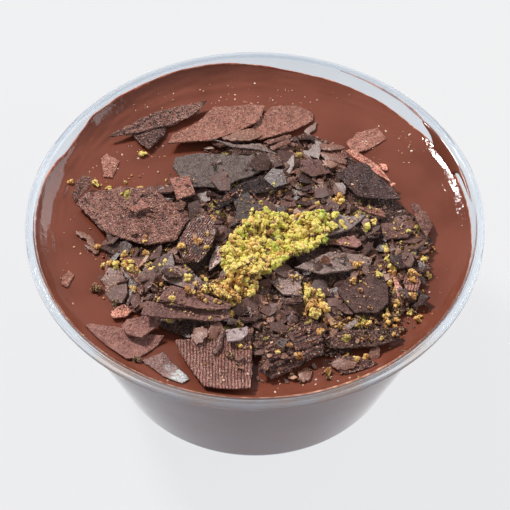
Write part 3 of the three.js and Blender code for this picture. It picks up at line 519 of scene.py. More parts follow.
world = bpy.data.worlds.new("studio")
world.use_nodes = True
backdrop = world.node_tree.nodes["Background"]
backdrop.inputs["Color"].default_value = (0.95, 0.97, 1.0, 1.0)
backdrop.inputs["Strength"].default_value = 0.34
bpy.context.scene.world = world

# %% [markdown]
# ## The cup
# A thermoformed cup is one sheet of even thickness: a flat base, a small radius, a straight leaning
# wall, and a lip that rolls over and drops a short skirt. A mesh turned about the axis makes it best,
# from a middle line that is offset to both sides. The lean, the lip and the foot are the cup's own
# driving sizes, and its height and its rim are measured on the frame.

# %% The middle line of the wall
cup_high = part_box("cup")[1]
HEIGHT = cup_high.z
RIM = cup_high.x
WALL = 0.6 * MM
LEAN = math.radians(19.6)
LIP_ROLL = 1.0 * MM
LIP_SKIRT = 1.1 * MM
FOOT_ROLL = 2.0 * MM


def arc(middle, radius, start, end, steps, side, beads=0, bead=0.0):
    """Points on an arc in the (radius, height) plane, each with its outward direction.
    Beads are low waves along the arc, which fade out at both ends."""
    made = []
    for step in range(steps + 1):
        share = step / steps
        angle = start + (end - start) * share
        way = (math.cos(angle), math.sin(angle))
        far = radius + bead * math.sin(2 * math.pi * beads * share) * math.sin(math.pi * share)
        made.append((middle[0] + far * way[0], middle[1] + far * way[1], side * way[0], side * way[1]))
    return made


out_of_wall = (math.cos(LEAN), -math.sin(LEAN))
lip_middle = (RIM - WALL / 2 - LIP_ROLL, HEIGHT - WALL / 2 - LIP_ROLL)
wall_top = (lip_middle[0] - out_of_wall[0] * LIP_ROLL, lip_middle[1] - out_of_wall[1] * LIP_ROLL)
foot_height = WALL / 2 + FOOT_ROLL
foot_end = foot_height + out_of_wall[1] * FOOT_ROLL
foot_radius = wall_top[0] - (wall_top[1] - foot_end) * math.tan(LEAN) - out_of_wall[0] * FOOT_ROLL
foot = arc((foot_radius, foot_height), FOOT_ROLL, -math.pi / 2, -LEAN, 8, 1)
lip = arc(lip_middle, LIP_ROLL, math.pi - LEAN, 0, 48, -1, 4, 0.05 * MM)
skirt = [(lip_middle[0] + LIP_ROLL, lip_middle[1] - LIP_SKIRT, -1.0, 0.0)]
print("cup", round(HEIGHT / MM, 1), "mm high,", round(2 * RIM / MM, 1), "mm across the lip")


def wall_radius(height, offset=0.0):
    """Radius of the wall's middle line at a height, or of a line beside it."""
    return wall_top[0] - (wall_top[1] - height) * math.tan(LEAN) + offset / math.cos(LEAN)


def offset_line(points, distance):
    return [(r + out_r * distance, z + out_z * distance) for r, z, out_r, out_z in points]


# %% [markdown]
# Cup and cream are both closed bodies of rings round the axis. One function sews a stack of rings
# together, and a turned profile is a stack whose rings are even.

# %% Turn a profile about the axis
def ring_at(radius, height, angles):
    """Points round the axis. Radius and height are one value each, or one for every direction."""
    height = np.broadcast_to(height, angles.shape)
    return np.stack([radius * np.cos(angles), radius * np.sin(angles), height], 1)


def stacked(name, first, rings, last, material):
    """A closed piece of rings between two points on the axis, listed from the bottom up."""
    around = len(rings[0])
    points = np.concatenate([[first], *rings, [last]])
    top = len(points) - 1
    faces = []
    for step in range(around):
        after = (step + 1) % around
        faces.append((0, 1 + after, 1 + step))
        for ring in range(len(rings) - 1):
            low = 1 + ring * around
            faces.append((low + step, low + after, low + around + after, low + around + step))
        high = 1 + (len(rings) - 1) * around
        faces.append((top, high + step, high + after))
    return made_piece(name, points, faces, material)


def turned(name, profile, around, material):
    """A closed piece from a profile that starts and ends on the axis."""
    angles = 2 * np.pi * np.arange(around) / around
    rings = [ring_at(radius, height, angles) for radius, height in profile[1:-1]]
    return stacked(name, (0, 0, profile[0][1]), rings, (0, 0, profile[-1][1]), material)


CUP_AROUND = 240
BASE_RING = foot_radius * 0.6
middle_line = foot + lip + skirt
edge_round = arc((skirt[0][0], skirt[0][1]), WALL / 2, math.pi, 2 * math.pi, 6, 1)[1:-1]
profile = [(0.0, 0.0), (BASE_RING, 0.0)]
profile += offset_line(middle_line, WALL / 2)
profile += [(r, z) for r, z, _, _ in edge_round]
profile += list(reversed(offset_line(middle_line, -WALL / 2)))
profile += [(BASE_RING, WALL), (0.0, WALL)]
belongs(turned("clear_cup", profile, CUP_AROUND, CLEAR), CLEAR, "cup")

# %% [markdown]
# ## The cream
# The cream was poured and has set. Its middle is quiet, and near the wall it climbs in a soft hollow
# curve, highest at the front and the left, lowest at the right. Where it was pushed up it lies in a
# fold at the back and in small ripples, most of all at the left. A polar grid follows that rule best,
# because its outer ring is the wet line itself. The body reaches a little way into the plastic, so
# that no film of air shows between the two. Each point notes how far up the climb it lies, because
# the climb is creased and more glossy than the rest.

# %% The surface of the cream
CREAM_LEVEL = 47.0 * MM
FLAT_RADIUS = 45.5 * MM
INTO_WALL = 0.12 * MM
CLIMB_POWER = 3.2
# A fold lies along the wall at the back, directions in radians.
FOLD_RADIUS = 50.4 * MM
FOLD_AT = 1.9
FOLD_HEIGHT = 0.32 * MM
SWIRL_HEIGHT = 0.05 * MM
# Small ripples on the climb, which are stronger round one direction at the left.
RIPPLE_HEIGHT = 0.07 * MM
RIPPLE_AT_LEFT = 0.1 * MM
LEFT_AT = 2.7
# Where the cream meets the wall, as direction in degrees and height in millimetres, read round the cup.
WET_LINE = [(0, 48.9), (17, 48.6), (32, 48.1), (41, 47.5), (56, 48.2), (81, 48.6), (90, 49.8), (102, 51.0),
            (114, 51.2), (121, 50.8), (129, 50.9), (141, 51.1), (144, 50.0), (149, 49.3), (156, 49.2),
            (167, 51.1), (200, 51.2), (250, 50.9), (300, 50.7), (340, 50.9), (349, 50.3), (356, 49.3)]


def wet_height(angle):
    degrees = np.degrees(angle) % 360
    table = np.array([*WET_LINE, (360 + WET_LINE[0][0], WET_LINE[0][1])])
    return np.interp(degrees, table[:, 0], table[:, 1]) * MM


def turn_from(angle, middle):
    """Shortest turn from a direction, in radians."""
    return np.arctan2(np.sin(angle - middle), np.cos(angle - middle))


def cream_height(x, y):
    radius = np.hypot(x, y)
    angle = np.arctan2(y, x)
    wet = wet_height(angle)
    edge = wall_radius(wet, -WALL / 2)
    share = np.clip((radius - FLAT_RADIUS) / (edge - FLAT_RADIUS), 0, 1)
    rise = (wet - CREAM_LEVEL) * share**CLIMB_POWER
    fold_at = FOLD_RADIUS + 0.8 * MM * np.sin(3 * angle)
    fold = np.exp(-((radius - fold_at) / (1.1 * MM)) ** 2)
    fold = FOLD_HEIGHT * fold * np.exp(-(turn_from(angle, FOLD_AT) / 0.42) ** 2)
    swirl = SWIRL_HEIGHT * np.sin(radius / (5.5 * MM) + 2.2 * angle) * np.sin(2 * angle + 0.8)
    ripple = np.sin(radius / (0.42 * MM) + 3 * angle) * np.sin(17 * angle)
    ripple = ripple * np.sin(7 * angle + radius / (2 * MM))
    ripple = ripple * np.clip((share - 0.25) * 4, 0, 1) * np.clip((1 - share) * 6, 0, 1)
    ripple *= RIPPLE_HEIGHT + RIPPLE_AT_LEFT * np.exp(-(turn_from(angle, LEFT_AT) / 0.6) ** 2)
    return CREAM_LEVEL + rise + fold + swirl * np.clip(share * 3, 0.3, 1) + ripple


CREAM_AROUND = 300
SIDE_RINGS = 25
angles = 2 * np.pi * np.arange(CREAM_AROUND) / CREAM_AROUND
WET_TURN = 0.004  # radians between the table's directions and the points'
EASINGS = 2
wet = wet_height(angles + WET_TURN)
for _ in range(EASINGS):
    wet = (np.roll(wet, 1) + 2 * wet + np.roll(wet, -1)) / 4
top_edge = wall_radius(wet, -(WALL / 2 - INTO_WALL))
shares = np.concatenate([np.linspace(0.02, 0.8, 44), np.linspace(0.8, 1.0, 60)[1:]])
rings = []
for share in shares:
    radius = share * top_edge
    surface = cream_height(radius * np.cos(angles), radius * np.sin(angles))
    rings.append(ring_at(radius, wet if share == 1.0 else surface, angles))
below = []
inner_foot = list(reversed(offset_line(foot, -WALL / 2 + INTO_WALL)))
for share in np.linspace(0, 1, SIDE_RINGS + 1)[1:]:
    z = wet + (inner_foot[0][1] - wet) * share
    below.append(ring_at(wall_radius(z, -(WALL / 2 - INTO_WALL)), z, angles))
for radius, height in inner_foot[1:] + [(foot_radius * 0.5, WALL - INTO_WALL)]:
    below.append(ring_at(radius, height, angles))


centre_top = float(cream_height(np.array([1e-9]), np.array([0.0]))[0])
cream = stacked("set_cream", (0, 0, WALL - INTO_WALL), list(reversed(below)) + list(reversed(rings)),
                (0, 0, centre_top), CREAM)
spread = np.array([v.co for v in cream.data.vertices])
CLIMB_REACH = 7 * MM
climb = np.clip((np.hypot(spread[:, 0], spread[:, 1]) - FLAT_RADIUS) / CLIMB_REACH, 0, 1)
climb *= spread[:, 2] > CREAM_LEVEL - 1 * MM
climb[1:1 + len(below) * CREAM_AROUND] = 0.0
name_points(cream, "climb", climb)
belongs(cream, CREAM, "chocolate_cream")
print("the cream meets the wall at", round(float(wet.min()) / MM, 1), "to", round(float(wet.max()) / MM, 1),
      "mm")

# %% [markdown]
# ## A smear on the wall
# At the right a lick of cream was drawn up the inside of the wall to the lip when the cup was filled.
# It is a thin film with a rounded edge: a strip along the wall whose lower and upper edge follow the
# smear, thick in its middle and running out to nothing. Fainter streaks lie in the hollow of the lip,
# at the back, the front and the left. They are strips of the same kind, only thinner.

# %% Licks of cream on the wall
# Each row: direction in degrees, lower edge and upper edge in millimetres.
SMEAR = [(37.6, 51.0, 51.1), (36.4, 50.6, 51.3), (34.4, 50.2, 51.4), (32.6, 49.6, 51.4), (31.2, 48.6, 51.4),
         (29.5, 46.9, 51.4), (24, 46.6, 51.4), (19.5, 46.8, 51.4), (18.3, 49.3, 51.4), (17.0, 50.2, 51.4),
         (14.5, 50.5, 51.4), (10.5, 50.7, 51.3), (6.2, 50.95, 51.1)]
LIP_BACK = [(66, 51.9, 52.0), (58, 51.7, 52.0), (52, 51.5, 52.0), (46, 51.5, 51.9), (41, 51.1, 51.9),
            (38, 51.0, 51.5), (37, 51.1, 51.2)]
LIP_FRONT = [(320, 51.5, 51.7), (312, 51.6, 52.25), (304, 51.9, 52.4), (296, 51.5, 52.42),
             (289, 51.8, 52.4), (282, 51.6, 52.42), (276, 51.9, 52.3), (268, 52.0, 52.2),
             (258, 52.1, 52.2)]
LIP_LEFT = [(262, 52.1, 52.3), (250, 52.0, 52.36), (238, 52.05, 52.3), (226, 52.0, 52.36),
            (212, 52.1, 52.3), (198, 52.2, 52.3)]
LICK_STEPS = 90
LICK_POINTS_ACROSS = 16
LICK_END = 0.12  # the share of its length in which a lick runs out at either end
lip_start = lip_middle[1] + (LIP_ROLL + WALL / 2) * math.sin(LEAN)


def inside_radius(z):
    """Radius of the cup's inner face at a height, over the straight wall and into the lip."""
    if z < lip_start:
        return wall_radius(z, -WALL / 2)
    rise = min(1.0, (z - lip_middle[1]) / (LIP_ROLL + WALL / 2))
    return lip_middle[0] - (LIP_ROLL + WALL / 2) * math.sqrt(1 - rise * rise)


def tidy_normals(piece):
    work = bmesh.new()
    work.from_mesh(piece.data)
    bmesh.ops.recalc_face_normals(work, faces=work.faces)
    work.to_mesh(piece.data)
    work.free()


def lick(name, rows, thick, material):
    """A strip along the inner face between the two edges of the rows, running out to nothing."""
    along = np.linspace(0, 1, LICK_STEPS)
    across = np.linspace(0, 1, LICK_POINTS_ACROSS)
    table = np.array(rows)
    steps = np.linspace(0, 1, len(table))
    direction = np.radians(np.interp(along, steps, table[:, 0]))
    low_edge = np.interp(along, steps, table[:, 1]) * MM
    high_edge = np.interp(along, steps, table[:, 2]) * MM
    ends = np.clip(np.minimum(along, 1 - along) / LICK_END, 0, 1) ** 0.5
    points = []
    for side in (0, 1):
        for turn_at, low, high, end in zip(direction, low_edge, high_edge, ends):
            for share in across:
                z = low + (high - low) * share
                bulge = thick * math.sqrt(max(0.0, 1 - (2 * share - 1) ** 2)) * end
                radius = inside_radius(z) + INTO_WALL - side * (INTO_WALL + bulge)
                points.append((radius * math.cos(turn_at), radius * math.sin(turn_at), z))
    wide = len(across)
    half = len(along) * wide
    faces = []
    for i in range(len(along) - 1):
        for j in range(wide - 1):
            a = i * wide + j
            faces.append((a, a + 1, a + wide + 1, a + wide))
            faces.append((half + a, half + a + wide, half + a + wide + 1, half + a + 1))
    border = [i * wide for i in range(len(along))]
    border += [(len(along) - 1) * wide + j for j in range(1, wide)]
    border += [i * wide + wide - 1 for i in range(len(along) - 2, -1, -1)]
    border += [j for j in range(wide - 2, 0, -1)]
    for here, there in zip(border, border[1:] + border[:1]):
        faces.append((here, there, half + there, half + here))
    piece = made_piece(name, points, faces, material)
    tidy_normals(piece)
    belongs(piece, material)


lick("wall_smear", SMEAR, 0.55 * MM, CREAM)

# %% [markdown]
# All along the wet line the cream has left a thin film on the wall, paler than the rest because the
# light comes through. Its upper edge wanders. It is a narrow band on the wall, a tenth of a millimetre
# thick, with a finish of its own.

# %% The film on the wall
def thin_film(name, alpha):
    finish = Finish(name, Roughness=0.25, IOR=1.45, Subsurface_Weight=0.3, Subsurface_Scale=0.5 * MM,
                    Alpha=alpha)
    place = finish.place()
    cloud = finish.noise(place, 2.4 * MM, 4.0, 0.6)
    colour = finish.blend(paint(150, 88, 68), paint(214, 160, 132), cloud.between(0.4, 0.66))
    finish.feed(Base_Color=colour, Roughness=0.16 + 0.2 * cloud, Normal=finish.relief(cloud, 0.1 * MM, 0.6))
    return noted(finish, "chocolate_cream")


# Direction in degrees, and how far the film reaches above the wet line, in millimetres.
FILM = [(0, 0.2), (60, 0.25), (95, 0.3), (112, 0.5), (130, 0.35), (145, 0.7), (160, 0.75), (185, 0.7),
        (215, 0.35), (250, 0.3), (272, 0.4), (282, 1.1), (300, 1.2), (315, 0.8), (335, 0.3), (360, 0.2)]
FILM_THICK = 0.1 * MM
FILM_OVERLAP = 0.5 * MM
FILM_HIGHEST = 51.3 * MM
film_reach = np.interp(np.degrees(angles), *np.array(FILM).T) * MM
wander = 0.55 + 0.25 * np.sin(9 * angles + 1.0) + 0.2 * np.sin(23 * angles) + 0.18 * np.sin(41 * angles + 2.0)
film_top = np.minimum(wet + film_reach * np.clip(wander, 0.1, 1.2), FILM_HIGHEST)
film_low = wet - FILM_OVERLAP
film_rings = []
for z, inward in ((film_low, 0.0), (film_low, 1.0), (wet + 0.4 * (film_top - wet), 1.0),
                  (film_top, 0.6), (film_top + 0.03 * MM, 0.0)):
    radius = wall_radius(z, -(WALL / 2 + (inward - 0.5) * FILM_THICK))
    film_rings.append(ring_at(radius, z, angles))
points = np.concatenate(film_rings)
faces = []
for step in range(CREAM_AROUND):
    after = (step + 1) % CREAM_AROUND
    for ring in range(len(film_rings)):
        low, high = ring * CREAM_AROUND, (ring + 1) % len(film_rings) * CREAM_AROUND
        faces.append((low + step, low + after, high + after, high + step))
FILM_FINISH = thin_film("film of cream", 1.0)
film = made_piece("wall_film", points, faces, FILM_FINISH)
tidy_normals(film)
belongs(film, FILM_FINISH)
WIPED = thin_film("wiped film of cream", 0.45)
lick("lip_film_back", LIP_BACK, 0.08 * MM, WIPED)
lick("lip_film_front", LIP_FRONT, 0.12 * MM, thin_film("thick film of cream", 0.85))
lick("lip_film_left", LIP_LEFT, 0.08 * MM, WIPED)

# %% [markdown]
# ## The large shavings
# Each large shaving has its own solid in the frame, a thin curved plate with a broken outline. A real
# one has knife ridges, pits and a crumbling edge. So a copy of the solid is remeshed in small even
# faces, eased a little, and then worked by a geometry tree that raises ridges across a heading,
# roughens both faces and breaks up the rim. The tree also notes how far each point is part of the
# rim, for the paler colour there, which is partly the crumbled edge and partly a painted highlight.
# The same tree roughens the heap.

# %% The tree that breaks up a surface
def new_tree(name, inputs):
    """An empty geometry tree with named inputs, its graph, and a dictionary of their wires."""
    tree = bpy.data.node_groups.new(name, "GeometryNodeTree")
    tree.interface.new_socket("Geometry", in_out="INPUT", socket_type="NodeSocketGeometry")
    tree.interface.new_socket("Geometry", in_out="OUTPUT", socket_type="NodeSocketGeometry")
    for label, kind in inputs.items():
        tree.interface.new_socket(label, in_out="INPUT", socket_type="NodeSocket" + kind)
    graph = Graph(tree)
    source = tree.nodes.new("NodeGroupInput")
    wires = {socket.name: Wire(graph, socket) for socket in source.outputs if socket.name}
    return tree, graph, wires


def give_out(graph, geometry, material):
    """The end of every tree: no instances are left, and all of it has the material."""
    geometry = graph.node("GeometryNodeRealizeInstances", {"Geometry": geometry})
    geometry = graph.node("GeometryNodeSetMaterial", {"Geometry": geometry, "Material": material})
    end = graph.tree.nodes.new("NodeGroupOutput")
    graph.tree.links.new(geometry.socket, end.inputs[0])


def add_tree(piece, tree, values):
    """Hangs the tree on the piece as a modifier, its inputs set by the sockets' identifiers."""
    modifier = piece.modifiers.new(tree.name, "NODES")
    modifier.node_group = tree
    for socket in tree.interface.items_tree:
        if socket.in_out == "INPUT" and socket.name in values:
            modifier[socket.identifier] = values[socket.name]


def broken_surface_tree():
    tree, graph, given = new_tree("broken surface", {
        "Ridge pitch": "Float", "Ridge depth": "Float", "Heading": "Float", "Grain size": "Float",
        "Grain depth": "Float", "Rim depth": "Float", "Material": "Material", "Seed": "Float"})
    place = graph.node("GeometryNodeInputPosition")
    normal = graph.node("GeometryNodeInputNormal")
    x, y, z = graph.parts(place)
    lean = graph.parts(normal)[2]
    heading = given["Heading"]
    ahead = heading.with_("COSINE", heading, 0.0)
    along = x * ahead + y * heading.sine()
    across = y * ahead - x * heading.sine()
    lie = graph.node("ShaderNodeCombineXYZ", {0: along + given["Seed"] * (9 * MM), 1: across, 2: z})
    warp = graph.noise(place, 5 * MM, 1.0, 0.5, given["Seed"]) - 0.5
    run = (across + warp * (1.6 * MM)) * (2 * math.pi) / given["Ridge pitch"]
    worn = graph.noise(place, 4 * MM, 2.0, 0.5, given["Seed"] + 3.0).between(0.3, 0.6)
    ridge = run.sine() * given["Ridge depth"] * worn * lean.size().between(0.35, 0.7)
    grain = graph.noise(place, given["Grain size"], 3.0, 0.6, given["Seed"])
    rough = (grain - 0.5) * given["Grain depth"]
    rim = 1 - lean.size().between(0.3, 0.85)
    nibble = graph.noise(place, 2.4 * MM, 3.0, 0.7, given["Seed"] + 7.0) - 0.52
    notch = graph.noise(place, 1.9 * MM, 1.0, 0.5, given["Seed"] + 9.0).between(0.56, 0.62)
    under = (0.35 - lean).between(0.0, 0.5)
    push = ridge + rough + rim * (nibble - 0.25 * notch - 0.18 * under) * given["Rim depth"]
    move = graph.node("ShaderNodeVectorMath", {0: normal, "Scale": push}, operation="SCALE")
    # The rim share goes to the finish, where it becomes a paler colour, partly a painted highlight.
    marked = graph.node("GeometryNodeStoreNamedAttribute",
                        {"Geometry": given["Geometry"], "Name": "rim", "Value": rim},
                        data_type="FLOAT", domain="POINT")
    marked = graph.node("GeometryNodeStoreNamedAttribute",
                        {"Geometry": marked, "Name": "lie", "Value": lie},
                        data_type="FLOAT_VECTOR", domain="POINT")
    moved = graph.node("GeometryNodeSetPosition", {"Geometry": marked, "Offset": move})
    give_out(graph, moved, given["Material"])
    return tree


BROKEN = broken_surface_tree()

# %% [markdown]
# Some solids hang a little above the cream, because they were modelled flat on their highest support.
# A real plate that is left on soft cream settles into it, so a copy of such a solid is let down before
# it is worked. Pieces of nut that are fused to a solid have small faces, which is how they are told
# from the chocolate.

# %% Copy a solid, remesh it and break it up
NUT_EDGE = 1.9 * MM
FEWEST_NUT_FACES = 8
SAME_POINT = 1e-6


def merged_copy(node):
    """The faces of a CAD node as one closed mesh; the node itself stays as it is."""
    work = bmesh.new()
    work.from_mesh(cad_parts[node].data)
    bmesh.ops.remove_doubles(work, verts=work.verts, dist=SAME_POINT)
    return work


heap_solid = merged_copy("shaving_heap")
heap_tree = BVHTree.FromBMesh(heap_solid)
heap_solid.free()
# How far each is let down: 1 is right onto the cream.
ON_CREAM = {"chip_on_cream_left": 1.0, "chip_on_cream_back_left": 1.0, "chip_on_cream_right": 1.0,
            "chip_left_round": 1.0, "shaving_right_pale": 1.0, "shaving_front_left": 1.0,
            "shaving_front_glossy": 1.0, "shaving_front_right_low": 1.0, "shaving_left_broad": 0.5,
            "shaving_right_edge": 0.6, "shaving_back_left_pale": 0.5, "curl_back": 0.4,
            "shaving_left_low": 0.5, "shaving_back_right_pale": 0.6, "shaving_front_ridged": 0.35}
SUNK = 0.25 * MM
HEAP_HOLDS = 4 * MM  # this close to the heap a shaving is held up, more so the closer it is
FACES_DOWN = -0.2


def laid_down(work, share):
    """Lowers the part of a shaving that hangs free over the cream, until it rests in it."""
    work.normal_update()
    low = np.array([v.co for v in work.verts if v.normal.z < FACES_DOWN])
    plane = np.linalg.lstsq(np.c_[low[:, :2], np.ones(len(low))], low[:, 2], rcond=None)[0]
    for vertex in work.verts:
        x, y, _ = vertex.co
        underside = plane[0] * x + plane[1] * y + plane[2]
        gap = underside - float(cream_height(x, y)) + SUNK
        from_heap = heap_tree.find_nearest((x, y, underside))[3]
        vertex.co.z -= share * max(0.0, gap) * min(1.0, max(0.0, from_heap / HEAP_HOLDS - 0.1))


def nut_faces(work):
    """The small faces of the pieces of nut that are fused to a solid, as a search tree."""
    work.faces.ensure_lookup_table()
    small = [f for f in work.faces if max(e.calc_length() for e in f.edges) < NUT_EDGE]
    if len(small) < FEWEST_NUT_FACES:
        return None
    points = [tuple(v.co) for f in small for v in f.verts]
    return BVHTree.FromPolygons(points, [(3 * i, 3 * i + 1, 3 * i + 2) for i in range(len(small))])


def plain_mesh(piece):
    """Applies all modifiers: the evaluated mesh replaces the piece's own."""
    bpy.context.view_layer.update()
    evaluated = piece.evaluated_get(bpy.context.evaluated_depsgraph_get())
    finished = bpy.data.meshes.new_from_object(evaluated)
    old = piece.data
    piece.modifiers.clear()
    piece.data = finished
    bpy.data.meshes.remove(old)


NUT_REACH = 0.28 * MM


def roughness(seed, grain_size, grain_depth, rim_depth, heading=0.0, pitch=1.0, depth=0.0):
    """What the tree is given for one piece: sizes in millimetres, the heading of ridges in degrees."""
    return {"Seed": seed, "Grain size": grain_size * MM, "Grain depth": grain_depth * MM,
            "Rim depth": rim_depth * MM, "Heading": math.radians(heading), "Ridge pitch": pitch * MM,
            "Ridge depth": depth * MM}


def broken_piece(name, nodes, material, cell, ease, with_nuts, values, shade=1.0):
    """One finished piece that stands for one or more solids, remeshed in cells of one size."""
    mesh = bpy.data.meshes.new(name)
    joined = bmesh.new()
    nuts = []
    for node in nodes:
        work = merged_copy(node)
        if node in ON_CREAM:
            laid_down(work, ON_CREAM[node])
        if with_nuts:
            nuts.append(nut_faces(work))
        part = bpy.data.meshes.new("part")
        work.to_mesh(part)
        joined.from_mesh(part)
        work.free()
        bpy.data.meshes.remove(part)
    joined.to_mesh(mesh)
    joined.free()
    piece = bpy.data.objects.new(name, mesh)
    bpy.context.scene.collection.objects.link(piece)
    remesh = piece.modifiers.new("remesh", "REMESH")
    remesh.mode = "VOXEL"
    remesh.voxel_size = cell
    eased = piece.modifiers.new("ease", "SMOOTH")
    eased.factor = 0.5
    eased.iterations = ease
    add_tree(piece, BROKEN, {"Material": material, **values})
    plain_mesh(piece)
    piece.data.shade_smooth()
    marks = np.zeros(len(piece.data.vertices), np.float32)
    found = [tree for tree in nuts if tree is not None]
    if found:
        for index, vertex in enumerate(piece.data.vertices):
            if any(tree.find_nearest(vertex.co, NUT_REACH)[0] is not None for tree in found):
                marks[index] = 1.0
    name_points(piece, "nut", marks)
    name_points(piece, "shade", np.full(len(marks), shade))
    belongs(piece, material, *nodes)
    return piece


# %% [markdown]
# What differs from one shaving to the next is its look, its shade, and the heading, pitch and depth of
# the knife's ridges. Those that are listed without ridges are only grainy. How deep the grain is goes
# with the look, but for one shard at the back that is rougher than its kind.

# %% Every large shaving
# Name and shade, then heading in degrees, pitch and depth in millimetres where there are ridges.
SHAVINGS = {
    "pale": [
        ("chip_on_cream_left", 1.05), ("chip_on_cream_back_left", 1.2), ("chip_on_cream_right", 2.8),
        ("shaving_right_pale", 1.25, 40, 1.1, 0.08), ("shaving_right_sliver", 2.1, -42, 0.9, 0.15),
        ("shaving_back_right_pale", 0.95), ("shaving_back_left_pale", 1.0), ("shaving_left_tip", 2.0)],
    "brown": [
        ("shaving_left_curl", 0.72), ("shaving_back_twist", 1.1, -15, 1.2, 0.14),
        ("shaving_right_edge", 0.72, -62, 1.4, 0.16), ("shaving_lower_right_sliver", 2.8),
        ("shaving_left_square", 1.45), ("shaving_right_strip", 1.25), ("chip_left_dark", 1.4)],
    "crumbly": [
        ("shaving_left_broad", 1.1), ("curl_back", 1.0, 25, 1.5, 0.08)],
    "ribbed": [
        ("shaving_front_ridged", 1.2, 90, 0.9, 0.1), ("shaving_lower_right_ridged", 1.45, 80, 0.9, 0.12)],
    "beaded": [
        ("shaving_left_speckled", 1.4, 62, 0.95, 0.13)],
    "satin": [
        ("shaving_front_left", 1.08), ("shaving_left_low", 1.05), ("chip_left_round", 1.0),
        ("chip_left_long", 1.0)],
    "plain": [
        ("shaving_left_strip_low", 1.05), ("shaving_left_strip_high", 1.25),
        ("shaving_middle_brown", 1.9), ("shaving_right_brown", 0.9), ("shaving_back_middle", 0.88),
        ("shaving_lower_right_smooth", 0.5)],
    "grey": [
        ("chip_on_curl", 0.6), ("shaving_back_thin", 1.2), ("shaving_centre_grey", 0.72),
        ("shaving_left_grey", 1.8), ("shaving_centre_shard", 0.42), ("shaving_middle_lobe", 1.95),
        ("shaving_middle_long", 1.5)],
    "bloomed": [
        ("shaving_front_patch", 1.1), ("shard_centre_bright", 1.8), ("shaving_middle_light", 0.78)],
    "glassy": [
        ("shaving_front_glossy", 0.95)],
    "striped": [
        ("curl_front_striped", 1.0, 24, 1.9, 0.34)],
    "dark": [
        ("shaving_back_shard", 0.95, 25, 1.2, 0.12), ("shaving_front_right", 0.8),
        ("shaving_front_right_low", 1.2, -15, 1.1, 0.14)],
    "bitter": [
        ("shaving_centre_dark", 0.42, 40, 1.1, 0.12), ("shaving_right_ridged", 0.85, 100, 1.0, 0.12),
        ("shaving_right_speckled", 1.0)],
}
# Depth of the grain in millimetres.
GRAIN_DEPTH = {"pale": 0.35, "brown": 0.4, "crumbly": 0.8, "ribbed": 0.25, "beaded": 0.25, "satin": 0.2,
               "plain": 0.16, "grey": 0.16, "bloomed": 0.1, "glassy": 0.12, "striped": 0.4, "dark": 0.5,
               "bitter": 0.4}
GRAIN_OF_ITS_OWN = {"shaving_back_shard": 0.75}
CELL = 0.25 * MM

seed = 0
flakes = []
for look, rows in SHAVINGS.items():
    for node, shade, *ridges in rows:
        seed += 1
        name = node.replace("shaving_", "flake_").replace("chip_", "bit_")
        name = name.replace("curl_", "roll_").replace("shard_centre", "sliver_centre")
        grain = GRAIN_OF_ITS_OWN.get(node, GRAIN_DEPTH[look])
        flakes.append(broken_piece(name, [node], LOOKS[look], CELL, 3, True,
                                   roughness(1.7 * seed, 1.1, grain, 1.8, *ridges), shade))
print("large shavings:", seed, "with", sum(len(f.data.polygons) for f in flakes), "faces")

# %% [markdown]
# The mounds of nut are the highest thing in the cup, and grains on top of them could stand out of the
# box of the solids. Whatever comes near its lid is pressed down a little, never more than it takes.

# %% Nothing higher than the solids
PRESSED = 1.0 * MM


def press_down(piece):
    """Presses tops that would stand out of the box of the solids back under its lid."""
    places = np.empty(3 * len(piece.data.vertices), np.float32)
    piece.data.vertices.foreach_get("co", places)
    height = places[2::3]
    past = np.maximum(height - (cad_box[1][2] - PRESSED), 0)
    height -= past - PRESSED * (1 - np.exp(-past / PRESSED))
    piece.data.vertices.foreach_set("co", places)
    piece.data.update()


# %% [markdown]
# ## The heap under them
# Between the large shavings the heap is crumbled chocolate: dark, partly from its own colour and
# partly as painted shade between the shavings, fine and rough. Its solid becomes the core in the same
# way, only coarser, and the three mounds of nut become a bed for the grains, in the darkest nut brown
# as painted shade in the gaps between them.

# %% The heap and the mounds of nut
HEAP_CELL = 0.4 * MM
NUT_CELL = 0.35 * MM
# The bed takes the darkest brown of the nut: painted shade in the gaps between the grains.
BED_TONE = 0.02
heap = broken_piece("crumbled_heap", ["shaving_heap"], HEAP, HEAP_CELL, 1, True,
                    roughness(91.0, 1.6, 0.9, 0.8))
nut_bed = broken_piece("nut_bed", ["pistachio_mound", "pistachio_spill", "pistachio_front"], PISTACHIO,
                       NUT_CELL, 2, False, roughness(17.0, 1.6, 1.6, 2.6))
press_down(nut_bed)
name_points(nut_bed, "tone", np.full(len(nut_bed.data.vertices), BED_TONE))

# %% [markdown]
# ## What lies scattered on top
# Grains, crumbs and chips fall on whatever is uppermost. A sheet that is dropped over all the solids
# gives them their ground: a grid whose heights are found by looking straight down. Each kind of
# scattered thing gets its own copy of the sheet with an attribute that says how thickly it lies where,
# and a geometry tree strews it with a fixed seed, gives every piece its own turn, size and tone, and
# joins all to one mesh.

# %% A sheet over everything
SHEET_STEP = 0.5 * MM
SHEET_REACH = 54.0 * MM
STEEPEST = 1.1 * MM  # a cell of the sheet with a higher step than this is left open
ABOVE_ALL = 0.1
LEDGE_CELLS = 3
LEDGE_LEAST = 0.6 * MM
LEDGE_MORE = 1.2 * MM

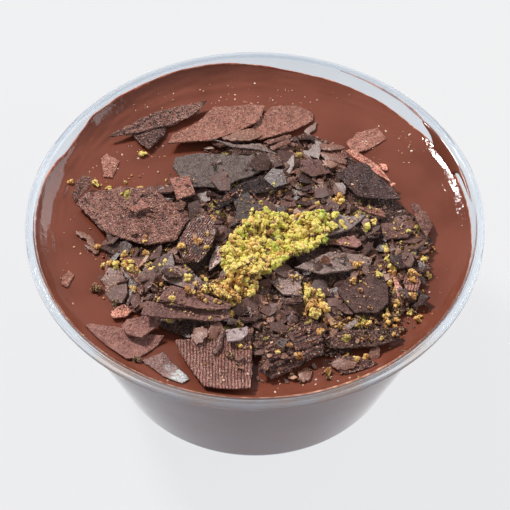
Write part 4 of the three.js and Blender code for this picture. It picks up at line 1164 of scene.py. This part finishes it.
count = int(2 * SHEET_REACH / SHEET_STEP) + 1
line = np.linspace(-SHEET_REACH, SHEET_REACH, count)
grid_x, grid_y = np.meshgrid(line, line)
grid_z = np.full(grid_x.shape, np.nan)
grid_owner = np.full(grid_x.shape, "", dtype=object)
for piece in [cream, heap, nut_bed, *flakes]:
    corners = np.array([v.co for v in piece.data.vertices])
    low, high = corners.min(0), corners.max(0)
    tree = BVHTree.FromPolygons(corners.tolist(), [tuple(f.vertices) for f in piece.data.polygons])
    inside = (grid_x > low[0]) & (grid_x < high[0]) & (grid_y > low[1]) & (grid_y < high[1])
    inside &= np.hypot(grid_x, grid_y) < SHEET_REACH
    for i, j in zip(*np.nonzero(inside)):
        hit = tree.ray_cast(Vector((grid_x[i, j], grid_y[i, j], ABOVE_ALL)), Vector((0, 0, -1)))[0]
        if hit is not None and not hit.z < grid_z[i, j]:
            grid_z[i, j] = hit.z
            grid_owner[i, j] = piece.name
sheet_index = -np.ones(grid_z.shape, int)
known = ~np.isnan(grid_z)
sheet_index[known] = np.arange(known.sum())
sheet_points = np.stack([grid_x[known], grid_y[known], grid_z[known]], 1)
sheet_owner = grid_owner[known]
corner = (sheet_index[:-1, :-1], sheet_index[:-1, 1:], sheet_index[1:, 1:], sheet_index[1:, :-1])
whole = (corner[0] >= 0) & (corner[1] >= 0) & (corner[2] >= 0) & (corner[3] >= 0)
corner_z = np.stack([grid_z[:-1, :-1], grid_z[:-1, 1:], grid_z[1:, 1:], grid_z[1:, :-1]])
gentle = np.ptp(np.nan_to_num(corner_z), axis=0) < STEEPEST
sheet_faces = np.stack([c[whole & gentle] for c in corner], 1)
print("sheet:", len(sheet_points), "points,", len(sheet_faces), "faces")

# Where the ground falls away from an edge, crumbs gather: 1 at the foot of a ledge, 0 away from it.
filled = np.where(known, grid_z, 0.0)
highest = filled.copy()
for step_x in range(-LEDGE_CELLS, LEDGE_CELLS + 1):
    for step_y in range(-LEDGE_CELLS, LEDGE_CELLS + 1):
        highest = np.maximum(highest, np.roll(filled, (step_y, step_x), (0, 1)))
ledge = np.clip((highest - filled - LEDGE_LEAST) / LEDGE_MORE, 0, 1)[known]


def strewn(zones):
    """How thickly something lies at each point of the sheet. A zone is an ellipse: x, y, half its size
    along x and along y, its turn in degrees, and the share in its middle."""
    x, y = sheet_points[:, 0] / MM, sheet_points[:, 1] / MM
    share = np.zeros(len(sheet_points))
    for middle_x, middle_y, half_x, half_y, turn, most in zones:
        c, s = math.cos(math.radians(turn)), math.sin(math.radians(turn))
        u = ((x - middle_x) * c + (y - middle_y) * s) / half_x
        v = ((y - middle_y) * c - (x - middle_x) * s) / half_y
        share = np.maximum(share, most * np.clip(1.6 * (1 - (u * u + v * v)), 0, 1))
    return share


# %% [markdown]
# One tree strews all of it. Points fall on the ground as thickly as its attribute says, each takes one
# of a few shapes, a turn, a size and a tone by chance, and once all are real mesh a noise in space
# makes every one of them uneven in its own way. The shapes are a plain crumb, a crumb with knobs, and
# a flake.

# %% The tree that strews small things
def strewing_tree(name, shape, lumps, upward=1.0, placed=False):
    """shape(graph) gives pieces about 1 unit in radius; lumps is how uneven they get, as a share.
    With placed, one lies at each point of the mesh, in the size and tone that the point names."""
    tree, graph, given = new_tree(name, {
        "Per square metre": "Float", "Smallest": "Float", "Largest": "Float", "Flatness": "Float",
        "Tilt": "Float", "Lift": "Float", "Low tone": "Float", "High tone": "Float",
        "Slimmest": "Float", "Lump size": "Float", "Material": "Material", "Seed": "Int"})

    def named(label):
        return graph.node("GeometryNodeInputNamedAttribute", {"Name": label}, data_type="FLOAT")

    def chance(low, high, more, kind="FLOAT"):
        plain = kind == "FLOAT"
        inputs = {2: low, 3: high} if plain else {0: low, 1: high}
        inputs["Seed"] = given["Seed"] + more
        return graph.node("FunctionNodeRandomValue", inputs, out=1 if plain else 0, data_type=kind)

    tilt = given["Tilt"]
    low_turn = graph.node("ShaderNodeCombineXYZ", {0: 0.0 - tilt, 1: 0.0 - tilt, 2: 0.0})
    high_turn = graph.node("ShaderNodeCombineXYZ", {0: tilt, 1: tilt, 2: 2 * math.pi})
    turned_by = chance(low_turn, high_turn, 1, "FLOAT_VECTOR")
    if placed:
        size, tone = named("bulk"), named("tone")
        where = {"Points": given["Geometry"]}
    else:
        size = given["Smallest"] + (given["Largest"] - given["Smallest"]) * chance(0.0, 1.0, 2) ** 2.0
        tone = chance(given["Low tone"], given["High tone"], 4)
        dots = graph.node("GeometryNodeDistributePointsOnFaces",
                          {"Mesh": given["Geometry"], "Seed": given["Seed"],
                           "Density": given["Per square metre"] * named("share")})
        where = {"Points": dots, "Rotation": Wire(graph, dots.socket.node.outputs["Rotation"])}
    slender = chance(given["Slimmest"], 1.0, 3)
    scale = graph.node("ShaderNodeCombineXYZ", {0: size, 1: size * slender, 2: size * given["Flatness"]})
    spread = graph.node("GeometryNodeInstanceOnPoints",
                        {**where, "Instance": shape(graph), "Pick Instance": True, "Scale": scale})
    spread = graph.node("GeometryNodeRotateInstances", {"Instances": spread, "Rotation": turned_by})
    rise = graph.node("ShaderNodeCombineXYZ", {2: size * given["Lift"]})
    spread = graph.node("GeometryNodeTranslateInstances",
                        {"Instances": spread, "Translation": rise, "Local Space": False})
    if not placed:
        for label, value in (("tone", tone), ("bulk", size)):
            spread = graph.node("GeometryNodeStoreNamedAttribute",
                                {"Geometry": spread, "Name": label, "Value": value},
                                data_type="FLOAT", domain="INSTANCE")
    solid = graph.node("GeometryNodeRealizeInstances", {"Geometry": spread})
    bulk = named("bulk")
    place = graph.node("GeometryNodeInputPosition")
    cloud = graph.node("ShaderNodeTexNoise",
                       {"Vector": place, "Scale": 1 / given["Lump size"], "Detail": 1.0}, out=1)
    shift = graph.node("ShaderNodeVectorMath", {0: cloud, 1: (0.5, 0.5, 0.5)}, operation="SUBTRACT")
    shift = graph.node("ShaderNodeVectorMath", {0: shift, 1: (1.0, 1.0, upward)}, operation="MULTIPLY")
    shift = graph.node("ShaderNodeVectorMath", {0: shift, "Scale": bulk * (2 * lumps)}, operation="SCALE")
    solid = graph.node("GeometryNodeSetPosition", {"Geometry": solid, "Offset": shift})
    give_out(graph, solid, given["Material"])
    return tree


def as_choice(graph, shapes):
    """Several shapes as instances, of which each point takes one."""
    return graph.node("GeometryNodeGeometryToInstance", {"Geometry": shapes})


def angular_crumb(graph):
    return as_choice(graph, [graph.node("GeometryNodeMeshIcoSphere", {"Radius": 1.0, "Subdivisions": 1})])


def knobbly_crumbs(graph):
    """Three crumbs of four knobs each, about 1 unit in radius."""
    crumbs = []
    for kind in range(3):
        knobs = []
        for knob in range(4):
            turn_by = 1.9 * knob + 0.7 * kind
            ball = graph.node("GeometryNodeMeshIcoSphere",
                              {"Radius": 0.5 + 0.06 * knob, "Subdivisions": 1})
            away = (0.45 * math.cos(turn_by), 0.45 * math.sin(turn_by), 0.3 * math.sin(2.3 * knob + kind))
            knobs.append(graph.node("GeometryNodeTransform", {"Geometry": ball, "Translation": away,
                                                              "Rotation": (turn_by, knob, kind)}))
        crumbs.append(graph.node("GeometryNodeJoinGeometry", {"Geometry": knobs}))
    return as_choice(graph, crumbs)


def thin_flakes(graph):
    """Six ragged flakes: a disc of five to seven corners, pushed in and out, bent, with a thickness."""
    flakes = []
    place = graph.node("GeometryNodeInputPosition")
    x, y, _ = graph.parts(place)
    for kind in range(6):
        disc = graph.node("GeometryNodeMeshCircle", {"Vertices": 5 + kind % 3, "Radius": 1.0},
                          fill_type="TRIANGLE_FAN")
        wider = (graph.noise(place, 0.6, 1.0, 0.5, 4.0 * kind) - 0.5) * 1.5
        bend = x * x * (0.06 * kind - 0.1) + y * (0.1 - 0.05 * kind)
        move = graph.node("ShaderNodeCombineXYZ", {0: x * wider, 1: y * wider, 2: bend})
        disc = graph.node("GeometryNodeSetPosition", {"Geometry": disc, "Offset": move})
        upper = graph.node("GeometryNodeExtrudeMesh",
                           {"Mesh": disc, "Offset Scale": 0.14, "Individual": False})
        lower = graph.node("GeometryNodeFlipFaces", {"Mesh": disc})
        whole = graph.node("GeometryNodeJoinGeometry", {"Geometry": [upper, lower]})
        flakes.append(graph.node("GeometryNodeMergeByDistance", {"Geometry": whole, "Distance": 0.001}))
    return as_choice(graph, flakes)


FINE = strewing_tree("strewn crumbs", angular_crumb, 0.6)
KNOBBLY = strewing_tree("strewn knobbly crumbs", knobbly_crumbs, 0.45)
FLAKES = strewing_tree("strewn flakes", thin_flakes, 0.12, 0.8)
PLACED = strewing_tree("placed knobbly crumbs", knobbly_crumbs, 0.45, placed=True)


def grown(piece, tree, material, values):
    """Lets a tree turn its ground into the strewn things, as one plain mesh."""
    values.setdefault("Lump_size", 0.9 * MM)
    values.setdefault("Slimmest", 0.55)
    values["Material"] = material
    add_tree(piece, tree, {key.replace("_", " "): value for key, value in values.items()})
    plain_mesh(piece)
    press_down(piece)
    piece.data.shade_flat()
    belongs(piece, material)


def strew(name, tree, share, material, ground=None, **values):
    """A sheet, or a copy of another ground, that the tree turns into one piece of strewn things."""
    if ground is None:
        piece = made_piece(name, sheet_points, sheet_faces)
    else:
        piece = bpy.data.objects.new(name, ground.data.copy())
        bpy.context.scene.collection.objects.link(piece)
    name_points(piece, "share", share)
    grown(piece, tree, material, values)


# %% [markdown]
# Chips first: thin broken bits of the same chocolate, lying at all tilts in the gaps of the heap.
# Smaller flakes and crumbs gather at the foot of every ledge, and few stay on nut or on smooth faces.

# %% Chips over the heap
HEAP_ZONE = [(1.5, -4, 40, 35, 0, 1.0), (35, -12, 12, 18, 0, 1.0), (-32, -14, 12, 16, 0, 0.9),
             (14, 24, 12, 8, -20, 1.0), (12, -40, 20, 8, 10, 1.0)]
on_heap = sheet_owner == "crumbled_heap"
on_cream = sheet_owner == "set_cream"
on_nuts = sheet_owner == "nut_bed"
on_smooth = sheet_owner == "flake_centre_grey"
by_heap = strewn(HEAP_ZONE)
at_back = strewn([(-2, 27, 13, 5, 0, 0.8)]) * on_cream
in_gaps = np.maximum(by_heap * np.where(on_heap, 1.0, 0.03), at_back)
strew("loose_flakes", FLAKES, in_gaps, CHIPS, Per_square_metre=1.9e5, Smallest=0.9 * MM,
      Largest=3.7 * MM, Flatness=0.9, Slimmest=0.22, Tilt=0.45, Lift=0.2, Low_tone=0.0, High_tone=0.75,
      Lump_size=0.8 * MM, Seed=5)
gathered = by_heap * np.where(on_heap, 1.0, 0.1 + 0.9 * ledge) * np.where(on_cream, 0.15, 1.0)
gathered = np.maximum(gathered * np.where(on_nuts | on_smooth, 0.2, 1.0), at_back)
strew("small_flakes", FLAKES, gathered, CRUMBS, Per_square_metre=6.5e5, Smallest=0.35 * MM,
      Largest=1.7 * MM, Flatness=1.0, Slimmest=0.2, Tilt=0.9, Lift=0.5, Low_tone=0.0, High_tone=0.85,
      Lump_size=0.6 * MM, Seed=7)
strew("fine_crumbs", FINE, gathered, CRUMBS, Per_square_metre=2.4e6, Smallest=0.14 * MM,
      Largest=0.46 * MM, Flatness=0.75, Tilt=0.6, Lift=0.35, Low_tone=0.1, High_tone=1.3,
      Lump_size=0.5 * MM, Seed=11)

# %% [markdown]
# The chopped pistachio is thickest in one mound with a spill to the left and one to the front. Big
# grains show the green inside, small ones are mostly yellow, and further out skin and dust turn the
# grains brown and golden.

# %% Pistachio
# Grains stay on the bed where it faces up or out, and not on its underside.
LEAST_UP = -0.35
bed_up = np.array([v.normal.z for v in nut_bed.data.vertices])
on_bed = np.clip((bed_up - LEAST_UP) * 2, 0, 1)
strew("mound_grains", KNOBBLY, on_bed, PISTACHIO, ground=nut_bed, Per_square_metre=0.95e6,
      Smallest=0.4 * MM, Largest=1.35 * MM, Flatness=0.8, Tilt=0.9, Lift=0.35, Low_tone=0.4,
      High_tone=0.86, Lump_size=0.5 * MM, Seed=3)
strew("mound_crumbs", FINE, on_bed, PISTACHIO, ground=nut_bed, Per_square_metre=2.6e6,
      Smallest=0.15 * MM, Largest=0.42 * MM, Flatness=0.9, Tilt=0.9, Lift=0.4, Low_tone=0.15,
      High_tone=0.6, Lump_size=0.4 * MM, Seed=8)
MOUND_ZONE = [(4.5, -8.5, 17.5, 10.5, 28, 1.0), (-6, -23, 10, 6, 25, 1.0), (15, -27.5, 5, 8, 10, 0.9),
              (20, -29, 5, 6, 10, 0.7)]
strew("mound_skirt", KNOBBLY, strewn(MOUND_ZONE), PISTACHIO, Per_square_metre=4.0e5,
      Smallest=0.35 * MM, Largest=1.2 * MM, Flatness=0.85, Tilt=0.9, Lift=0.5, Low_tone=0.3,
      High_tone=0.86, Lump_size=0.5 * MM, Seed=13)
LOOSE_ZONE = [(38, -10, 7.5, 10, 0, 1.0), (36, -24, 8, 9, 0, 0.9), (29, -33, 10, 6, -15, 1.0),
              (20, -28, 6, 6, 0, 1.0), (22, -10, 6, 3, 0, 0.8), (-27, -13, 14, 7, -15, 1.0),
              (-34, 15, 14, 6, 5, 0.16), (24, 2, 14, 8, -10, 0.7), (-14, -27, 12, 8, -10, 0.5),
              (-33, -21, 6, 5, 0, 0.8), (8, -42, 22, 7, 0, 0.22), (2, -12, 26, 16, 20, 0.35),
              (0, 6, 14, 6, 0, 0.35), (34, -20, 12, 14, 0, 0.5)]
by_nuts = strewn(LOOSE_ZONE) * np.where(sheet_owner == "flake_lower_right_smooth", 0.25, 1.0)
strew("loose_grains", KNOBBLY, by_nuts, PISTACHIO, Per_square_metre=2.9e5,
      Smallest=0.35 * MM, Largest=1.4 * MM, Flatness=0.85, Tilt=0.9, Lift=0.6, Low_tone=0.12,
      High_tone=0.7, Lump_size=0.55 * MM, Seed=21)
strew("loose_crumbs", FINE, by_nuts, PISTACHIO, Per_square_metre=0.75e6,
      Smallest=0.14 * MM, Largest=0.4 * MM, Flatness=0.9, Tilt=0.7, Lift=0.6, Low_tone=0.05,
      High_tone=0.5, Lump_size=0.4 * MM, Seed=27)

# %% [markdown]
# Some small plates between the large shavings are just as easy to tell apart: splinters under the
# pale pieces at the back, a broken flake across the mound, a stick that leans on the ridged piece.
# Each is a thin plate with a ragged outline that settles on the ground under it, so one function cuts
# them all from short outlines.

# %% Small plates in their places
# Tone, height in millimetres or None for the ground, and the outline as x, y in millimetres.
BROWN_PLATES = [
    (0.62, 49.3, [(-8.7, 29.1), (-5, 31.6), (-0.8, 32.3), (2.1, 30.2), (-1.3, 28.4), (-6, 28.1)]),
    (0.4, 50.6, [(3.7, 24.8), (8.7, 27.6), (9.4, 26.5), (4.7, 23.7)]),
    (0.3, 50.1, [(2.1, 26.6), (7.9, 29.8), (9.5, 30.2), (9.5, 28.7), (3.9, 25.6)]),
    (0.5, 49.6, [(17.1, 27.4), (22.3, 26.4), (23.8, 25), (19.6, 24.3), (16.5, 25.3)]),
    (0.55, 49.8, [(16.5, 23.8), (21.2, 22.7), (24, 20.6), (23.4, 19.6), (18.5, 21)]),
    (0.7, 50, [(17.5, 20.8), (22.1, 19.4), (20, 18), (18.5, 18.7)]),
    (0.15, 50.3, [(0.3, 23.3), (3.9, 22.6), (6.8, 21.2), (7, 18.8), (2.6, 17.1)]),
    (0.38, None, [(-38.5, -17.6), (-36.9, -14.4), (-34.4, -15.1), (-32.8, -18), (-34.2, -20.5),
                  (-36.7, -20.8)]),
    (0.35, None, [(-31.9, -26.8), (-30.7, -24.9), (-28.7, -25.9), (-29.7, -27.4)]),
    (0.45, None, [(-32.2, -12.8), (-31, -10.9), (-27.4, -11.2), (-26.9, -12.5), (-29.4, -14.1)]),
    (0.5, None, [(-22.2, -10.5), (-19.9, -9.8), (-18.3, -13.1), (-18.8, -14), (-20.8, -12.7)]),
    (0.35, None, [(-22.9, -9.2), (-20.2, -6.9), (-19.2, -8.9), (-21.4, -10.8)]),
    (0.35, None, [(-2.2, -23.5), (1.7, -23.2), (6.2, -25.4), (5.7, -26.9), (1.7, -26.9), (-0.7, -25.4)]),
    (0.4, None, [(1.5, -28.7), (3.2, -26.5), (6.4, -27.1), (5.2, -29.3), (2.2, -29.9)]),
    (0.25, None, [(-10.2, -41.4), (-8.8, -36.9), (-8.1, -34.1), (-7.4, -35), (-8.3, -40.2), (-9.5, -41.7)]),
    (0.6, None, [(-14.6, -38.9), (-15.7, -36.5), (-14.5, -34.3), (-12.8, -34), (-11.5, -36.5),
                 (-12.7, -38.6)]),
    (0.6, None, [(-11.8, -35.8), (-10.6, -33.9), (-8.8, -32.7), (-7.8, -34.2), (-10, -37.9)]),
    (1.3, None, [(16.5, -29.3), (17.8, -28.7), (21.4, -32.4), (20.6, -33.6), (18.4, -31.8)]),
    (0.62, None, [(10.2, -45.5), (12.4, -44), (14.1, -45.2), (13.1, -47.9), (11.7, -48.5), (10.9, -47.3)]),
    (0.6, None, [(27.7, -39.8), (29.2, -37.4), (30.6, -38.9), (30.3, -41), (28.6, -41.6)]),
    (0.5, None, [(18, -43.2), (21.2, -42), (24.9, -43.5), (23.9, -45), (20.2, -45.3)]),
    (0.6, None, [(-46, -0.9), (-43.6, -1.5), (-41.3, -3.5), (-40.1, -6.8), (-41.6, -6.5), (-43, -3.9),
                  (-45.6, -2.2)]),
    (0.6, None, [(-43.4, -5.7), (-41.4, -5.7), (-39.5, -7.6), (-40.3, -8.6), (-42.4, -7)]),
    (0.3, None, [(0.2, -27.1), (-2.2, -26.2), (-3.7, -28), (-0.7, -29.9), (1.7, -29.6)]),
]
GREY_PLATES = [
    (0.2, None, [(-34.4, -15.2), (-32.9, -13.9), (-29.7, -19.1), (-29.1, -21.6), (-31.6, -21.3),
                  (-33.3, -18.1)]),
    (0.3, None, [(-32.6, -23), (-31.9, -21.1), (-30.6, -21.1), (-30.3, -23.3), (-31.5, -25.5)]),
    (0.1, None, [(17.3, -27.9), (19, -26.6), (22, -27.6), (21.2, -29.8), (18.5, -29.8)]),
    (0.9, None, [(13, 33.5), (15.1, 35.6), (16.5, 37), (16.1, 34.2), (14, 32)]),
    (0.35, None, [(1.8, -14.8), (5.3, -13.5), (8.8, -15.1), (11.2, -17.3), (7.2, -19.2), (4.2, -17.6)]),
    (0.3, None, [(7.6, -30.1), (9.4, -28.2), (10.9, -29.1), (10.3, -31.3), (8.4, -31.9)]),
]
PLATE_THICK = 0.4 * MM
PLATE_RAGGED = 0.14 * MM  # how far its edge strays from the outline
PLATE_LIFT = 0.3 * MM     # how far it lies above the middle of its ground
PLATE_STEEPEST = 0.4
PLATE_LEAN = 0.12
BULGE_INSIDE = 0.18 * MM
BULGE_MIDDLE = 0.22 * MM
ALONG_EDGE = (0, 0.25, 0.5, 0.75)
ragged = np.random.default_rng(12)


def ground_height(x, y):
    """The middle height of the nine points of the sheet round a place."""
    column = int(round((x + SHEET_REACH) / SHEET_STEP))
    row = int(round((y + SHEET_REACH) / SHEET_STEP))
    return np.nanmedian(grid_z[row - 1:row + 2, column - 1:column + 2])


def small_plates(name, rows, material):
    """Thin plates as one piece, each cut from its outline and laid on the ground below."""
    points, faces, tones = [], [], []
    for tone, height, outline in rows:
        corners = np.array(outline) * MM
        after = np.roll(corners, -1, 0)
        ring = np.concatenate([corners + (after - corners) * t for t in ALONG_EDGE], 1).reshape(-1, 2)
        ring += ragged.normal(0, PLATE_RAGGED, ring.shape)
        middle = ring.mean(0)
        flat = np.c_[ring - middle, np.ones(len(ring))]
        if height is None:
            under = np.array([ground_height(x, y) for x, y in ring])
            slope = np.linalg.lstsq(flat, under, rcond=None)[0]
            slope[:2] = np.clip(slope[:2], -PLATE_STEEPEST, PLATE_STEEPEST)
            slope[2] = np.median(under) + PLATE_LIFT
        else:
            slope = np.array([*ragged.uniform(-PLATE_LEAN, PLATE_LEAN, 2), height * MM])
        inner = middle + 0.5 * (ring - middle)
        level = [flat @ slope, np.c_[inner - middle, np.ones(len(ring))] @ slope + BULGE_INSIDE]
        first = len(points)
        around = len(ring)
        for lift in (0.0, PLATE_THICK):
            for places, heights in ((ring, level[0]), (inner, level[1])):
                points += [(x, y, z + lift) for (x, y), z in zip(places, heights)]
            points.append((*middle, slope[2] + BULGE_MIDDLE + lift))
        layer = 2 * around + 1
        for step in range(around):
            here, there = first + step, first + (step + 1) % around
            for up, base in ((False, 0), (True, layer)):
                a, b = (here + base, there + base) if up else (there + base, here + base)
                peak = first + base + 2 * around
                faces += [(a, b, b + around, a + around), (a + around, b + around, peak)]
            faces.append((here, there, there + layer, here + layer))
        tones += [tone] * (2 * layer)
    piece = made_piece(name, points, faces, material)
    name_points(piece, "tone", tones)
    tidy_normals(piece)
    piece.data.shade_flat()
    belongs(piece, material)


small_plates("brown_plates", BROWN_PLATES, CRUMBS)
small_plates("grey_plates", GREY_PLATES, CHIPS)

# %% [markdown]
# The largest loose pieces of nut catch the eye one by one, so they are put where they lie. A mesh of
# bare points carries the radius and the tone of each, and the same tree sets a knobbly crumb on it.
# Each is sunk in its ground by about half its radius.

# %% Pieces of nut in their places
# x, y and radius in millimetres, and tone.
NUTS = [
    (16, 6, 1.4, 0.4), (22, 9, 1.4, 0.3), (17, -31, 1.4, 0.3), (-11, 1.5, 1.4, 0.3),
    (-16.5, -25.5, 1.4, 0.4), (27, -41.5, 1.3, 0.5), (33, -7.5, 1.3, 0.5), (20, -30.5, 1.3, 0.3),
    (40.5, -7, 1.2, 0.4), (-33.5, -22.5, 1.2, 0.4), (35, -27, 1.2, 0.3), (-29.5, 25.5, 1.2, 0.5),
    (24.5, -20, 1.1, 0.4), (43.5, -15, 1.1, 0.4), (-24, -14, 1.1, 0.5), (31.5, -13.5, 1.1, 0.5),
    (-30, 13.5, 1.1, 0.4), (28, -37, 1, 0.3), (-38, 13.5, 1, 0.5), (-48, 15.5, 1, 0.3),
    (22.5, -33.5, 1, 0.4), (30, -33.5, 0.9, 0.3), (38, -26.5, 0.9, 0.3), (30, -31, 0.9, 0.3),
    (11.5, 6, 0.9, 0.8), (13.5, -45, 0.9, 0.3), (25, -48, 0.8, 0.3), (12.5, -28.5, 0.8, 0.5),
    (1.5, 7, 0.8, 0.8), (38.5, 1.5, 0.8, 0.3), (28.5, -28, 0.8, 0.3), (-8, -7, 0.8, 0.3),
    (40, -25.5, 0.8, 0.3), (18.5, -6.5, 0.8, 0.6), (-32, -13, 0.8, 0.3), (-6.5, -42, 0.8, 0.3),
    (1, 2, 0.7, 0.4), (41.5, -21, 0.7, 0.3), (-26, -13, 0.7, 0.3), (-21, -16.5, 0.7, 0.4),
    (36.5, -40.5, 0.7, 0.2), (-8.5, -27.5, 0.7, 0.4), (-22, -21.5, 0.7, 0.3),
    (45.5, -6.5, 0.6, 0.2), (8, 11.5, 0.6, 0.3), (26, -31, 0.6, 0.3), (1.5, -28, 0.6, 0.3),
    (-11, -37, 0.6, 0.3), (-32.5, -10.5, 0.6, 0.2), (3.5, -30, 0.6, 0.5), (-3.5, -27, 0.6, 0.4),
    (-25.5, -9.5, 0.6, 0.3), (34, -30, 0.5, 0.3), (-21, -20.5, 0.5, 0.2), (40.5, -2.5, 0.5, 0.2),
    (-8.5, -3, 0.5, 0.4), (-40, -19.5, 1.6, 0.16), (-40, -6.5, 1.3, 0.22), (-29, -42, 1.2, 0.18),
]
NUT_LIFT = 0.45
points = []
for x, y, radius, _ in NUTS:
    points.append((x * MM, y * MM, ground_height(x * MM, y * MM) + NUT_LIFT * radius * MM))
nuts = made_piece("placed_nuts", points, [])
name_points(nuts, "bulk", [nut[2] * MM for nut in NUTS])
name_points(nuts, "tone", [nut[3] for nut in NUTS])
grown(nuts, PLACED, PISTACHIO, {"Flatness": 0.9, "Tilt": 3.0, "Lift": 0.0, "Lump_size": 0.6 * MM,
                                "Seed": 41})

# %% [markdown]
# On the bare cream lie a few very small crumbs and burst bubbles, seen as pale specks, whose palest colours
# are painted highlights.

# %% Specks
SPECK_ZONE = [(-33, 22, 14, 8, 10, 1.0), (-24, 42, 12, 6, 25, 1.0), (0, 46, 26, 5, 0, 1.0),
              (36, 28, 10, 9, -40, 1.0), (0, -48, 40, 4, 0, 0.6), (-46, -8, 5, 20, 0, 0.4),
              (44, -24, 6, 14, -20, 0.4)]
strew("cream_specks", FINE, strewn(SPECK_ZONE), SPECKS, Per_square_metre=1.6e5, Smallest=0.13 * MM,
      Largest=0.4 * MM, Flatness=0.6, Tilt=0.3, Lift=0.3, Low_tone=0.0, High_tone=1.1, Seed=33)

# %% [markdown]
# ## The size, and the last step
# The dressed cup must stay in the box of its solids, whose corners are printed here.

# %% Sizes
print("solids", [round(c / MM, 2) for corner in cad_box for c in corner])
